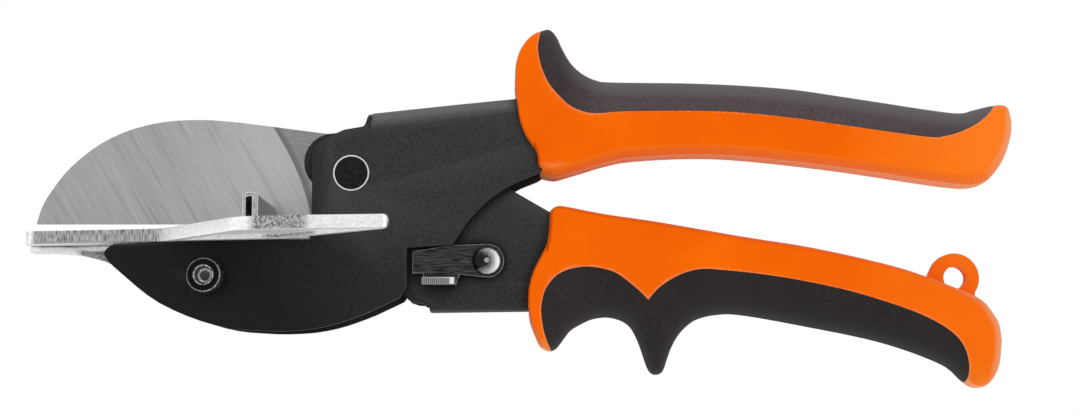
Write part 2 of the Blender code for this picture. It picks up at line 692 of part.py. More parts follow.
def grip_thickness(top, bottom, soft_side):
    """Half thickness of a grip at each point of its side view.

    The depth of a point inside the outline is a smooth mean of its distances to all of the
    outline, each over that stretch's edge radius. The section then rises like a quarter
    ellipse over one edge radius and stays flat beyond it.
    """
    line = np.array(list(top) + list(reversed(bottom))[1:-1])
    soft = np.array([soft_side > 0] * len(top) + [soft_side < 0] * (len(line) - len(top)))
    ahead = np.roll(line, -1, axis=0)
    length = np.linalg.norm(ahead - line, axis=1)
    reach = np.concatenate([[0], np.cumsum(length)])
    places = np.linspace(0, reach[-1], FIELD_SAMPLES, endpoint=False)
    closed = np.vstack([line, line[:1]])
    sample = np.stack([np.interp(places, reach, closed[:, k]) for k in (0, 1)], axis=1)
    softness = np.interp(places, reach, np.append(soft, soft[0]).astype(float))
    mouth = line[:, 0].min()
    tail = line[:, 0].max()
    ease = np.clip((sample[:, 0] - mouth) / MOUTH_BLEND, 0, 1)
    ease = ease * ease * (3 - 2 * ease)
    edge = SHELL_EDGE + (PAD_EDGE - SHELL_EDGE) * softness
    radius = MOUTH_EDGE + (edge - MOUTH_EDGE) * ease
    swell = np.clip((sample[:, 0] - tail + TAIL_BLEND) / TAIL_BLEND, 0, 1)
    radius = radius + (TAIL_EDGE - radius) * swell * swell * (3 - 2 * swell)
    step = reach[-1] / FIELD_SAMPLES
    straight = math.sqrt(math.pi) * math.gamma((FIELD_POWER - 1) / 2) / math.gamma(FIELD_POWER / 2)

    def half_thickness(x, y):
        gap = np.hypot(x[..., None] - sample[:, 0], y[..., None] - sample[:, 1])
        gap = np.maximum(gap, step / 50)
        pull = np.sum(step * radius ** (FIELD_POWER - 1) / gap ** FIELD_POWER, axis=-1)
        depth = np.clip((straight / pull) ** (1 / (FIELD_POWER - 1)), 0, 1)
        along = np.clip((x - mouth) / (tail - mouth), 0, 1)
        full = GRIP_HALF_THICKNESS + (GRIP_TAIL_HALF_THICKNESS - GRIP_HALF_THICKNESS) * along
        z = full * np.sqrt(1 - (1 - depth) ** 2)
        z[:, 0] = 0
        z[:, -1] = 0
        z[0, :] = 0
        z[-1, :] = 0
        return z
    return half_thickness


def grip_body(name, top_points, bottom_points, soft_side, count, parent, material=None):
    top = smooth(top_points)
    bottom = smooth(bottom_points)
    xs = stations(top[0][0], top[-1][0], count)
    thickness = grip_thickness(top, bottom, soft_side)
    return slab(name, xs, top, bottom, thickness, GRIP_RINGS * 2, parent, material)


def make_upper_grip(ridge, parent, shell_material, pad_material):
    """Upper grip: a hard shell on the frame's tang, with a soft pad over its back."""
    top = upper_points(UPPER_GRIP_TOP_SHARES)
    bottom = upper_points(UPPER_GRIP_BOTTOM_SHARES)
    seam = smooth(upper_points(UPPER_SEAM_SHARES))
    high = HORN_RISE + REGION_MARGIN
    region = seam + [(seam[-1][0], high), (seam[0][0], high)]
    wide = GRIP_HALF_THICKNESS + OVERRUN

    shell = grip_body("upper_grip_shell", top, bottom, 1, UPPER_STATIONS, parent,
                      shell_material)
    pad_space = prism("upper_pad_space", region, -wide, wide, parent)
    combine(shell, pad_space, "DIFFERENCE")
    rear = frame_points(CHEEK_REAR_SHARES)
    bottom_line = upper_points(UPPER_TANG_BOTTOM_SHARES)
    past = [p for p in ridge if p[0] > rear[2][0]]
    pocket = offset(past + bottom_line + rear[:3], SEAT_GAP)
    depth = FRAME_OUTER + SEAT_GAP
    combine(shell, prism("upper_pocket", pocket, -depth, depth, parent), "DIFFERENCE")

    pad = grip_body("upper_grip_pad", top, bottom, 1, UPPER_STATIONS, parent, pad_material)
    inside = prism("upper_pad_region", offset(region, -SEAT_GAP), -wide, wide, parent)
    combine(pad, inside, "INTERSECT")


def make_lower_grip(parent, shell_material, pad_material):
    """Lower grip: a hard shell with a hanging eye, and a soft pad with a finger guard."""
    top = lower_points(LOWER_GRIP_TOP_SHARES)
    bottom = lower_points(LOWER_GRIP_BOTTOM_SHARES)
    front_seam = smooth(lower_points(LOWER_SEAM_SHARES))
    rear_seam = smooth(lower_points(LOWER_SEAM_REAR_SHARES))
    seam = front_seam + rear_seam[1:]
    low = -TAIL_DROP - REGION_MARGIN
    region = seam + [(seam[-1][0], low), (seam[0][0], low)]
    wide = GRIP_HALF_THICKNESS + OVERRUN

    shell = grip_body("lower_grip_shell", top, bottom, -1, LOWER_STATIONS, parent,
                      shell_material)
    pad_space = prism("lower_pad_space", region, -wide, wide, parent)
    combine(shell, pad_space, "DIFFERENCE")
    eye = cylinder("hanging_eye", (EYE_ACROSS, EYE_DROP), EYE_RADIUS, -EYE_HALF_THICKNESS,
                   EYE_HALF_THICKNESS, SMALL_SIDES, parent)
    combine(shell, eye, "UNION")
    drill(shell, (EYE_ACROSS, EYE_DROP), EYE_HOLE_RADIUS, -wide, wide)
    depth = CARRIER_OUTER + SEAT_GAP
    first = frame_points(CARRIER_TOP_SHARES)[0]
    last = frame_points(CARRIER_FOLD_SHARES)[-1]
    tang_top = lower_points(LOWER_TANG_TOP_SHARES)
    tang_bottom = lower_points(LOWER_TANG_BOTTOM_SHARES)
    base = (tang_bottom[-1][0], last[1])
    path = [first] + tang_top + tang_bottom + [base, (first[0], base[1])]
    pocket = prism("lower_pocket", offset(path, SEAT_GAP), -depth, depth, parent)
    combine(shell, pocket, "DIFFERENCE")

    pad = grip_body("lower_grip_pad", top, bottom, -1, LOWER_STATIONS, parent, pad_material)
    inside = prism("lower_pad_region", offset(region, -SEAT_GAP), -wide, wide, parent)
    combine(pad, inside, "INTERSECT")


def make_blade(parent, material):
    """Half-moon blade, ground thin towards its straight edge, with a full-thickness tang."""
    top = smooth(blade_points(BLADE_BACK_SHARES + TANG_BACK_SHARES))
    belly = smooth(blade_points(list(reversed(TANG_BELLY_SHARES))) + [top[-1]])
    tip = (top[0][0], -EDGE_DROP)
    heel = (-HEEL_SETBACK, -EDGE_DROP)
    bottom = [tip, heel] + belly
    grind = blade_points(GRIND_LINE_SHARES)
    heights = [p[1] for p in grind]
    places = [p[0] for p in grind]

    def half_thickness(x, y):
        rise = np.clip((y + EDGE_DROP) / (EDGE_DROP + BLADE_RISE), 0, 1)
        ground = (EDGE_THICKNESS + (BLADE_THICKNESS - EDGE_THICKNESS) * rise) / 2
        border = np.interp(y, heights, places)
        past = np.clip((x - border) / GRIND_BLEND, 0, 1)
        return ground + (BLADE_THICKNESS / 2 - ground) * past

    left = stations(top[0][0], grind[-1][0], BLADE_STATIONS, BLADE_TIGHTNESS_SHARE)
    middle = np.linspace(grind[-1][0], grind[0][0] + GRIND_BLEND, TANG_STATIONS)[1:-1]
    right = stations(grind[0][0] + GRIND_BLEND, top[-1][0], TANG_STATIONS,
                     TANG_TIGHTNESS_SHARE)
    xs = np.concatenate([left, middle, right])
    blade = slab("blade", xs, top, bottom, half_thickness, 8, parent, material)
    drill(blade, (0, 0), PIVOT_HOLE, -BLADE_THICKNESS, BLADE_THICKNESS, ROUND_SIDES)
    rivet = (BLADE_RIVET_ACROSS, BLADE_RIVET_DROP)
    drill(blade, rivet, BLADE_RIVET_HOLE, -BLADE_THICKNESS, BLADE_THICKNESS)


def make_spacers(parent, material):
    """Two plates that pack the blade to the middle of its carrier."""
    tang = smooth(blade_points(TANG_BACK_SHARES)) + smooth(blade_points(TANG_BELLY_SHARES))
    front = arc((0, 0), BUSH_RADIUS * 2, 250, 110, 12)
    outline = offset(tang[:-1] + front, -SEAT_GAP)
    for name, side in (("blade_spacer_front", 1), ("blade_spacer_back", -1)):
        low, high = sorted((side * SPACER_INNER, side * SPACER_OUTER))
        plate = prism(name, outline, low, high, parent, material)
        drill(plate, (0, 0), PIVOT_HOLE, low, high, ROUND_SIDES)
        rivet = (BLADE_RIVET_ACROSS, BLADE_RIVET_DROP)
        drill(plate, rivet, BLADE_RIVET_HOLE, low, high)


def table_corners():
    """Places along the table where its 45 degree flare ends and where its side ends."""
    flare_end = FLARE_START - (TABLE_HALF_WIDTH - NOSE_HALF_WIDTH)
    return flare_end, flare_end - SIDE_LENGTH


def wing_recess(side, parent):
    """Shallow hollow under one wing of the table, which leaves a rim round its edge."""
    flare_end, side_end = table_corners()
    root = FRAME_OUTER + SEAT_GAP
    corners = [
        (-FLARE_START + (root - NOSE_HALF_WIDTH), root), (-flare_end, TABLE_HALF_WIDTH),
        (-side_end, TABLE_HALF_WIDTH), (EAR_REACH, TABLE_HALF_WIDTH - EAR_TAPER),
        (-EAR_ROOT, root),
    ]
    inner = offset(corners, -RIM_WIDTH)

    def make(bm):
        deep = [bm.verts.new((x, table_under(x) + RECESS_DEPTH, side * z)) for x, z in inner]
        low = [bm.verts.new((x, table_under(x) - OVERRUN, side * z)) for x, z in inner]
        bridge(bm, deep, low)
        bm.faces.new(deep)
        bm.faces.new(list(reversed(low)))
    name = "front_recess" if side > 0 else "back_recess"
    return add_object(name, mesh_from(name, make), parent)


def table_plan():
    """Plan of one half of the table as (along, half width), from the nose to the frame's slot."""
    flare_end, side_end = table_corners()
    root = FRAME_OUTER + SEAT_GAP
    ear = TABLE_HALF_WIDTH - EAR_TAPER
    slot = -frame_points(CHEEK_CORNER_SHARES)[0][0] + SEAT_GAP
    corners = [
        (-NOSE_REACH, 0), (-NOSE_REACH, NOSE_HALF_WIDTH), (-FLARE_START, NOSE_HALF_WIDTH),
        (-flare_end, TABLE_HALF_WIDTH), (-side_end, TABLE_HALF_WIDTH), (EAR_REACH, ear),
        (-EAR_ROOT, root), (-slot, root),
    ]
    radii = [NOSE_CORNER, FLARE_BEND, FLARE_BEND, SIDE_BEND, EAR_RADIUS, EAR_RADIUS]
    return rounded_corners(corners, radii)[1:]


def make_table(parent, material):
    """Cast table: an arrow-shaped plate on a web, with a lower flange and a screw boss."""
    half = table_plan()
    plan = half + [(x, -z) for x, z in reversed(half)]

    def make(bm):
        upper = [bm.verts.new((x, table_top(x), z)) for x, z in plan]
        lower = [bm.verts.new((x, table_under(x), z)) for x, z in plan]
        bridge(bm, upper, lower)
        bm.faces.new(upper)
        bm.faces.new(list(reversed(lower)))
    table = add_object("cutting_table", mesh_from("cutting_table", make), parent, material)

    belly = quadrant(WEB_SHARES, NOSE_REACH, FRAME_REACH, FRAME_RISE, WEB_DEPTH)
    belly = smooth(belly, 3)
    sunk = TABLE_THICKNESS / 2
    rim = [(-NOSE_REACH, table_top(-NOSE_REACH) - sunk), (belly[-1][0], table_top(0) - sunk)]
    web = prism("table_web", belly + rim[::-1], -WEB_THICKNESS / 2, WEB_THICKNESS / 2, parent)
    combine(table, web, "UNION")
    wide = FRAME_INNER - SEAT_GAP
    upper_line = [(x, y + FLANGE_THICKNESS) for x, y in belly]
    flange = prism("table_flange", belly + upper_line[::-1], -wide, wide, parent)
    combine(table, flange, "UNION")
    boss = cylinder("table_boss", SCREW_PLACE, BOSS_RADIUS, -wide, wide, SMALL_SIDES, parent)
    combine(table, boss, "UNION")
    for side in (1, -1):
        combine(table, wing_recess(side, parent), "DIFFERENCE")
    drill(table, SCREW_PLACE, SCREW_HOLE, -wide, wide)


def make_fences(parent, material):
    """Two folded strips that stand across the table, one on each side of the blade."""
    width = 2 * FENCE_SHEET + FENCE_SLIT
    left = -FENCE_PLACE
    right = left + width
    crown = table_top(left) + FENCE_HEIGHT
    outer = [(right, table_top(right) + SEAT_GAP)]
    outer += arc((right - width / 2, crown - width / 2), width / 2, 0, 180, 8)
    outer.append((left, table_top(left) + SEAT_GAP))
    inner_left = left + FENCE_SHEET
    inner_right = right - FENCE_SHEET
    inner = [(inner_left, table_top(inner_left) + SEAT_GAP)]
    inner += arc((right - width / 2, crown - width / 2), FENCE_SLIT / 2, 180, 0, 6)
    inner.append((inner_right, table_top(inner_right) + SEAT_GAP))
    section = outer + inner
    near = BLADE_PASSAGE / 2
    far = TABLE_HALF_WIDTH - FENCE_INSET
    prism("fence_front", section, near, far, parent, material)
    prism("fence_back", section, -far, -near, parent, material)


def make_screw(parent, steel, bright):
    """Socket cap screw that clamps the table between the jaw cheeks, and its nut."""
    centre = SCREW_PLACE
    seat = FRAME_OUTER + SEAT_GAP
    crown = seat + SCREW_HEAD_HEIGHT
    tail = -FRAME_OUTER - SEAT_GAP - NUT_HEIGHT - SCREW_RADIUS / 2
    profile = [
        (0, tail), (SCREW_RADIUS - PIN_GAP, tail), (SCREW_RADIUS, tail + PIN_GAP),
        (SCREW_RADIUS, seat), (SCREW_HEAD_RADIUS, seat),
        (SCREW_HEAD_RADIUS, crown - SCREW_HEAD_CHAMFER),
        (SCREW_HEAD_RADIUS - SCREW_HEAD_CHAMFER, crown), (0, crown),
    ]
    screw = turned("table_screw", profile, centre, SMALL_SIDES, parent, steel)
    corner = SOCKET_FLATS / math.sqrt(3)
    socket = cylinder("screw_socket", centre, corner, crown - SOCKET_DEPTH, crown + OVERRUN, 6,
                      parent)
    combine(screw, socket, "DIFFERENCE")

    back = -FRAME_OUTER - SEAT_GAP
    nut_corner = NUT_FLATS / math.sqrt(3)
    nut = cylinder("table_nut", centre, nut_corner, back - NUT_HEIGHT, back, 6, parent, bright)
    rim = [
        (0, back), (nut_corner, back), (nut_corner, back - NUT_HEIGHT + NUT_BEVEL),
        (nut_corner - NUT_BEVEL * 2, back - NUT_HEIGHT), (0, back - NUT_HEIGHT),
    ]
    combine(nut, turned("nut_rounding", rim, centre, SMALL_SIDES, parent), "INTERSECT")
    drill(nut, centre, SCREW_HOLE, back - NUT_HEIGHT, back)


def make_pivot(parent, steel, bright):
    """Pivot pin with a low head behind, in a thin hard sleeve that shows as a bright ring."""
    head = -FRAME_OUTER - SEAT_GAP
    face = FRAME_OUTER + PIN_GAP
    profile = [
        (0, head - PIN_HEAD_HEIGHT), (PIN_HEAD_RADIUS * 0.8, head - PIN_HEAD_HEIGHT),
        (PIN_HEAD_RADIUS, head - PIN_HEAD_HEIGHT / 2), (PIN_HEAD_RADIUS, head),
        (PIN_RADIUS, head), (PIN_RADIUS, face - PIN_CHAMFER), (PIN_RADIUS - PIN_CHAMFER, face),
        (0, face),
    ]
    pin = turned("pivot_pin", profile, (0, 0), ROUND_SIDES, parent, steel)
    inner = PIN_RADIUS + PIN_GAP
    ring = [
        (inner, -FRAME_OUTER), (BUSH_RADIUS, -FRAME_OUTER), (BUSH_RADIUS, FRAME_OUTER),
        (inner, FRAME_OUTER),
    ]
    bush = turned("pivot_sleeve", ring, (0, 0), ROUND_SIDES, parent, bright)
    for obj in (pin, bush):
        mark_round(obj)


def make_blade_rivet(parent, material):
    """Flush rivet that keys the blade and its spacers to the lower frame."""
    end = CARRIER_OUTER - PIN_GAP
    centre = (BLADE_RIVET_ACROSS, BLADE_RIVET_DROP)
    rivet = cylinder("blade_rivet", centre, BLADE_RIVET_RADIUS, -end, end, SMALL_SIDES, parent,
                     material)
    mark_round(rivet)


def make_latch(axis, parent, lever_material, rivet_material):
    """Locking lever on the lower frame, with a bent thumb tab, and its domed rivet."""
    slope = LATCH_TOP_INNER
    end = arc((0, 0), LATCH_END_RADIUS, 100, -80, 14)
    nose = -LATCH_LENGTH
    tab_left = nose + TAB_WIDTH / 3
    tab_right = -TAB_NEAR
    outline = end + [
        (tab_right + TAB_WIDTH / 8, -LATCH_BOTTOM), (tab_right, -TAB_DROP),
        (tab_left, -TAB_DROP), (tab_left, -LATCH_BOTTOM + SEAT_GAP),
        (nose, -LATCH_BOTTOM + SEAT_GAP), (nose, LATCH_TOP - LATCH_NOSE_CUT),
        (nose + LATCH_NOSE_CUT / 3, LATCH_TOP - LATCH_NOSE_CUT / 3),
        (nose + LATCH_NOSE_CUT, LATCH_TOP), (-LATCH_LENGTH / 2, slope),
    ]
    lever = prism("latch_lever", outline, LATCH_BACK, LATCH_FACE, axis, lever_material)
    tab = [
        (tab_left, -TAB_DROP), (tab_right, -TAB_DROP),
        (tab_right, -TAB_DROP + LATCH_THICKNESS), (tab_left, -TAB_DROP + LATCH_THICKNESS),
    ]
    bent = prism("latch_tab", tab, LATCH_BACK, LATCH_BACK + TAB_REACH, axis)
    combine(lever, bent, "UNION")
    drill(lever, (0, 0), LATCH_HOLE, LATCH_BACK, LATCH_FACE)

    seat = LATCH_FACE + SEAT_GAP
    tail = CARRIER_INNER - SEAT_GAP
    profile = [
        (0, tail - RIVET_TAIL_HEIGHT), (RIVET_TAIL_RADIUS, tail - RIVET_TAIL_HEIGHT),
        (RIVET_TAIL_RADIUS, tail), (LATCH_RIVET_RADIUS, tail), (LATCH_RIVET_RADIUS, seat),
        (LATCH_DOME_RADIUS, seat),
    ]
    for k in range(1, 6):
        a = math.pi / 2 * k / 6
        radius = LATCH_DOME_RADIUS * math.cos(a)
        profile.append((radius, seat + LATCH_DOME_HEIGHT * math.sin(a)))
    profile.append((0, seat + LATCH_DOME_HEIGHT))
    centre = (LATCH_ACROSS, LATCH_DROP)
    rivet = turned("latch_rivet", profile, centre, SMALL_SIDES, parent, rivet_material)
    mark_round(rivet)


def make_spring(ridge, fold, parent, material):
    """Opening spring: one open coil of wire from the upper fold to the lower fold."""
    clear = SPRING_WIRE / 2 + SEAT_GAP
    top = height_at(ridge, SPRING_ACROSS) - FRAME_SHEET - clear
    base = height_at(fold, SPRING_ACROSS) + CARRIER_SHEET + clear
    dead = SPRING_END_TURN * SPRING_WIRE * END_PITCH_SHARE
    turns = np.linspace(0, SPRING_TURNS, SPRING_TURNS * TURN_STEPS + 1)
    marks = [0, SPRING_END_TURN, SPRING_TURNS - SPRING_END_TURN, SPRING_TURNS]
    heights = np.interp(turns, marks, [base, base + dead, top - dead, top])
    angle = 2 * math.pi * turns
    x = SPRING_ACROSS + SPRING_RADIUS * np.cos(angle)
    z = SPRING_RADIUS * np.sin(angle)
    points = np.stack([x, heights, z], axis=1)
    apart = np.linalg.norm(points[:, None] - points[None, :], axis=2)
    order = np.arange(len(points))
    separate = np.abs(order[:, None] - order[None, :]) >= TURN_STEPS / 2
    least = apart[separate].min() - SPRING_WIRE
    print(f"spring: {SPRING_TURNS} turns, least gap to itself {1000 * least:.2f} mm")
    curve = bpy.data.curves.new("opening_spring", "CURVE")
    curve.dimensions = "3D"
    curve.bevel_depth = SPRING_WIRE / 2
    curve.bevel_resolution = 1
    curve.use_fill_caps = True
    spline = curve.splines.new("POLY")
    spline.points.add(len(turns) - 1)
    for point, place in zip(spline.points, points):
        point.co = (*place, 1)
    spring = bpy.data.objects.new("opening_spring", curve)
    bpy.context.collection.objects.link(spring)
    spring.parent = parent
    curve.materials.append(material)


def build():
    clear_scene()
    coated = add_material("black powder-coated steel", (0.045, 0.045, 0.047), 0.5, 0.0)
    blade_steel = add_material("ground blade steel", (0.45, 0.45, 0.46), 0.35, 1.0)
    casting = add_material("cast aluminium", (0.72, 0.72, 0.73), 0.35, 1.0)
    black_oxide = add_material("black oxide steel", (0.03, 0.03, 0.03), 0.35, 0.8)
    bright = add_material("bright steel", (0.62, 0.62, 0.63), 0.25, 1.0)
    brushed = add_material("brushed steel", (0.12, 0.12, 0.12), 0.4, 1.0)
    shell_plastic = add_material("orange polypropylene", (0.94, 0.16, 0.005), 0.4, 0.0)
    pad_rubber = add_material("dark soft rubber", (0.04, 0.033, 0.032), 0.7, 0.0)

    pivot = add_empty("pivot_axis", (PIVOT_X, PIVOT_Y, PIVOT_Z))
    swing = add_empty("lower_handle_axis", (0, 0, 0), pivot)
    latch = add_empty("latch_axis", (LATCH_ACROSS, LATCH_DROP, 0), swing)

    ridge = make_upper_frame(pivot, coated)
    make_table(pivot, casting)
    make_fences(pivot, bright)
    make_screw(pivot, black_oxide, bright)
    make_pivot(pivot, black_oxide, bright)
    make_upper_grip(ridge, pivot, shell_plastic, pad_rubber)

    fold = make_lower_frame(swing, coated)
    make_blade(swing, blade_steel)
    make_spacers(swing, black_oxide)
    make_blade_rivet(swing, bright)
    make_lower_grip(swing, shell_plastic, pad_rubber)
    make_latch(latch, swing, brushed, bright)
    make_spring(ridge, fold, swing, bright)


build()
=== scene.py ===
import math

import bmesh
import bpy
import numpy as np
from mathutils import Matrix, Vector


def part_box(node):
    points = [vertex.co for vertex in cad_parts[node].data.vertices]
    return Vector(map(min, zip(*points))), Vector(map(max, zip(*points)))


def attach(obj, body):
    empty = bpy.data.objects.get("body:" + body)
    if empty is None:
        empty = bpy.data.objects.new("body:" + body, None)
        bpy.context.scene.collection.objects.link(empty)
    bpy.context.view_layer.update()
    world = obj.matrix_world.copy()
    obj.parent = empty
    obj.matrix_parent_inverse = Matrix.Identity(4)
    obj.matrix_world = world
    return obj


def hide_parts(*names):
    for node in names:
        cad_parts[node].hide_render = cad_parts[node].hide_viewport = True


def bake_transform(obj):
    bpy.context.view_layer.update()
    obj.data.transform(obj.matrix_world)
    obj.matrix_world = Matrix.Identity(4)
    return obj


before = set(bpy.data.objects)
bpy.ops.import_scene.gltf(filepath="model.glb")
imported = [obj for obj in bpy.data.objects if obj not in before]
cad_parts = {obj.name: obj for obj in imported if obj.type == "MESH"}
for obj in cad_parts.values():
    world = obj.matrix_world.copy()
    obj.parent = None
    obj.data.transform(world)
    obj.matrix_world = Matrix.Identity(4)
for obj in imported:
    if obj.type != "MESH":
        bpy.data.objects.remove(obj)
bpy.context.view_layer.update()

# %% [markdown]
# # Mitre shears on a white table
# The shears lie on their back side. A half-moon blade closes on an angled cast table, and two
# moulded grips sit on nested steel frames. The main sizes come from the boxes of the CAD's own
# nodes, and everything is placed from the pivot, about which the handles turn.

MM = 0.001
pin_low, pin_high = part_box("pivot_sleeve")
PIVOT = np.array([(pin_low[k] + pin_high[k]) / 2 for k in range(3)])


def reach(name, corner, axis):
    """Distance from the pivot to one side of a node's box."""
    return abs(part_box(name)[corner][axis] - PIVOT[axis])


def middle(name):
    """The middle of a node's box across and up, from the pivot."""
    low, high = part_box(name)
    return [(low[k] + high[k]) / 2 - PIVOT[k] for k in range(2)]


HANDLE_REACH = reach("upper_grip_shell", 1, 0)
LOWER_REACH = reach("lower_grip_shell", 1, 0)
HORN_RISE = max(reach("upper_grip_shell", 1, 1), reach("upper_grip_pad", 1, 1))
TAIL_DROP = max(reach("lower_grip_shell", 0, 1), reach("lower_grip_pad", 0, 1))
BLADE_REACH = reach("blade", 0, 0)
BLADE_RISE = reach("blade", 1, 1)
EDGE_DROP = reach("blade", 0, 1)
TANG_REACH = reach("blade", 1, 0)
FRAME_HALF = reach("upper_frame", 1, 2)
CARRIER_HALF = reach("lower_frame", 1, 2)
BLADE_HALF = reach("blade", 1, 2)
GRIP_HALF = reach("upper_grip_shell", 1, 2)
print("pivot at", PIVOT.round(4), "handles reach", round(HANDLE_REACH, 4))

# %% [markdown]
# ## Small tools for materials
# A material is a tree of nodes. One helper adds any node with its settings and links, so a
# finish reads as a few lines. Colours are the hex codes that a screen shows, turned to linear.

# %% Colour and node helpers


def colour(code, alpha=1.0):
    """A hex colour as the linear values that a shader wants."""
    values = [int(code[k:k + 2], 16) / 255 for k in (0, 2, 4)]
    linear = [v / 12.92 if v <= 0.04045 else ((v + 0.055) / 1.055) ** 2.4 for v in values]
    return (*linear, alpha)


def node(tree, kind, inputs=None, **settings):
    """Add a shader node, set its properties and its sockets, and link the sockets that are given."""
    made = tree.nodes.new("ShaderNode" + kind)
    for name, value in settings.items():
        setattr(made, name, value)
    for name, value in (inputs or {}).items():
        if isinstance(value, bpy.types.NodeSocket):
            tree.links.new(value, made.inputs[name])
        else:
            made.inputs[name].default_value = value
    return made


def principled(name, **values):
    """A material with its Principled shader's sockets set, ready for patterns."""
    material = bpy.data.materials.new(name)
    material.use_nodes = True
    shader = material.node_tree.nodes["Principled BSDF"]
    for key, value in values.items():
        shader.inputs[key.replace("_", " ")].default_value = value
    return material, material.node_tree, shader


print("a mid grey is", round(colour("808080")[0], 3), "in linear light")

# %% [markdown]
# ## Patterns of a real size
# Grain, brushing and the patches of painted highlights are noise whose scale comes from millimetres.
# Object coordinates carry it, so it stays on the piece when the handles open. Places are in mm from the
# pivot.

# %% Pattern helpers


def per_mm(size_mm):
    """A texture scale whose pattern repeats about once in that many millimetres."""
    return 1 / (size_mm * MM)


def noise(tree, size_mm, stretch=(1, 1, 1), turn=0.0, detail=3.0):
    """Noise of a real size, stretched along axes that are turned about Z."""
    place = node(tree, "TexCoord")
    turned = node(tree, "Mapping", {"Vector": place.outputs["Object"],
                                    "Rotation": (0, 0, math.radians(turn))})
    stretched = node(tree, "Mapping", {"Vector": turned.outputs[0], "Scale": stretch})
    made = node(tree, "TexNoise", {"Vector": stretched.outputs[0], "Scale": per_mm(size_mm),
                                   "Detail": detail})
    return made.outputs["Fac"]


def ramp(tree, factor, low, high, start=0.3, end=0.7):
    """Map a pattern from one range to another."""
    made = node(tree, "MapRange", {"Value": factor, "From Min": start, "From Max": end,
                                   "To Min": low, "To Max": high})
    return made.outputs[0]


def mixed(tree, factor, first, second):
    """Mix two colours by a pattern."""
    return node(tree, "Mix", {0: factor, 6: first, 7: second}, data_type="RGBA").outputs[2]


def calc(tree, operation, first, second=0.0):
    """One sum on patterns or numbers."""
    return node(tree, "Math", {0: first, 1: second}, operation=operation).outputs[0]


def product(tree, first, *others):
    """Patterns or numbers multiplied together."""
    for other in others:
        first = calc(tree, "MULTIPLY", first, other)
    return first


def normal(tree):
    """Which way the surface faces: across, up and out."""
    return node(tree, "SeparateXYZ", {0: node(tree, "NewGeometry").outputs["Normal"]}).outputs


def place_mm(tree):
    """Where a point of the surface lies, across, up and out from the pivot in millimetres."""
    place = node(tree, "TexCoord")
    moved = node(tree, "VectorMath", {0: place.outputs["Object"], 1: tuple(PIVOT)},
                 operation="SUBTRACT")
    scaled = node(tree, "VectorMath", {0: moved.outputs[0], "Scale": 1 / MM}, operation="SCALE")
    return node(tree, "SeparateXYZ", {0: scaled.outputs[0]}).outputs


def band(tree, value, low, high, soft):
    """One between two places and zero beyond them, with soft ends."""
    rise = ramp(tree, value, 0, 1, low - soft, low + soft)
    fall = ramp(tree, value, 1, 0, high - soft, high + soft)
    return product(tree, rise, fall)


def off_axis(tree, centre):
    """How far a point lies to the right of an axis along Z, and its squared distance from it."""
    x, y, _ = place_mm(tree)
    across = calc(tree, "SUBTRACT", x, centre[0] / MM)
    rise = calc(tree, "SUBTRACT", y, centre[1] / MM)
    squares = calc(tree, "ADD", product(tree, across, across), product(tree, rise, rise))
    return across, squares


def dress(tree, shader, tint, pattern, smoothest, roughest, depth_mm=0.0):
    """Give the surface a tint, and let one pattern vary its roughness and raise it."""
    tree.links.new(tint, shader.inputs["Base Color"])
    tree.links.new(ramp(tree, pattern, smoothest, roughest), shader.inputs["Roughness"])
    if depth_mm:
        raised = node(tree, "Bump", {"Height": pattern, "Strength": 1, "Distance": depth_mm * MM})
        tree.links.new(raised.outputs[0], shader.inputs["Normal"])


def painted_gap_shade(tree, tint, reach_mm, darkest=0.06):
    """Paint shade into a colour where other surfaces stand closer than a real distance."""
    seen = node(tree, "AmbientOcclusion", {"Distance": reach_mm * MM}, samples=8)
    open_share = ramp(tree, seen.outputs["AO"], darkest, 1, 0.45, 0.92)
    return mixed(tree, open_share, colour("000000"), tint)


def painted_light_from_above(tree, tint, light, start, end):
    """Paint light into a colour: lighter where the surface leans towards the top of the picture."""
    return mixed(tree, ramp(tree, normal(tree)["Y"], 0, 1, start, end), tint, light)


print("a grain of 0.5 mm has the scale", per_mm(0.5))

# %% [markdown]
# ## Powder coat
# The frames are pressed steel with a black powder coat, baked on, with a fine orange-peel grain.
# Noise mixes two dark greys and raises the grain. Painted light and shade make the coat lighter towards
# the upper right and on faces that look up, and darker towards the lower left, low down and in gaps. The
# bevels get a paler coat of their own, a painted highlight where the rounded edges catch the light.

# %% Powder coat
# Where the coat's painted light and shade run, in mm from the pivot.
COAT_LEAN = (-44, 2)
COAT_LOW = (-36, -14)


def powder_coat():
    """Black powder coat with a fine orange-peel grain, painted lighter towards the upper frame and on
    faces that look up, and darker low down and in gaps: painted light and shade.
    """
    material, tree, shader = principled("black_powder_coat", Specular_IOR_Level=0.16)
    x, y, _ = place_mm(tree)
    # Painted light and shade: lighter towards the upper right, darker towards the lower left and low
    # down.
    painted_light_lean = ramp(tree, calc(tree, "ADD", x, product(tree, y, 0.8)), 0, 1, *COAT_LEAN)
    grain = noise(tree, 0.5, detail=4)
    shade = mixed(tree, painted_light_lean, colour("020203"), colour("222223"))
    shade = mixed(tree, ramp(tree, y, 0.6, 0, *COAT_LOW), shade, colour("0a0a0b"))
    light = mixed(tree, painted_light_lean, colour("1e1e1f"), colour("525253"))
    speck = mixed(tree, ramp(tree, grain, 0, 0.34), shade, light)
    # Painted light on faces that look up, such as the fold.
    speck = painted_light_from_above(tree, speck, colour("5f5f60"), 0.02, 0.5)
    # Painted shade in the gaps between parts.
    dress(tree, shader, painted_gap_shade(tree, speck, 3.2), grain, 0.42, 0.58, 0.03)
    return material


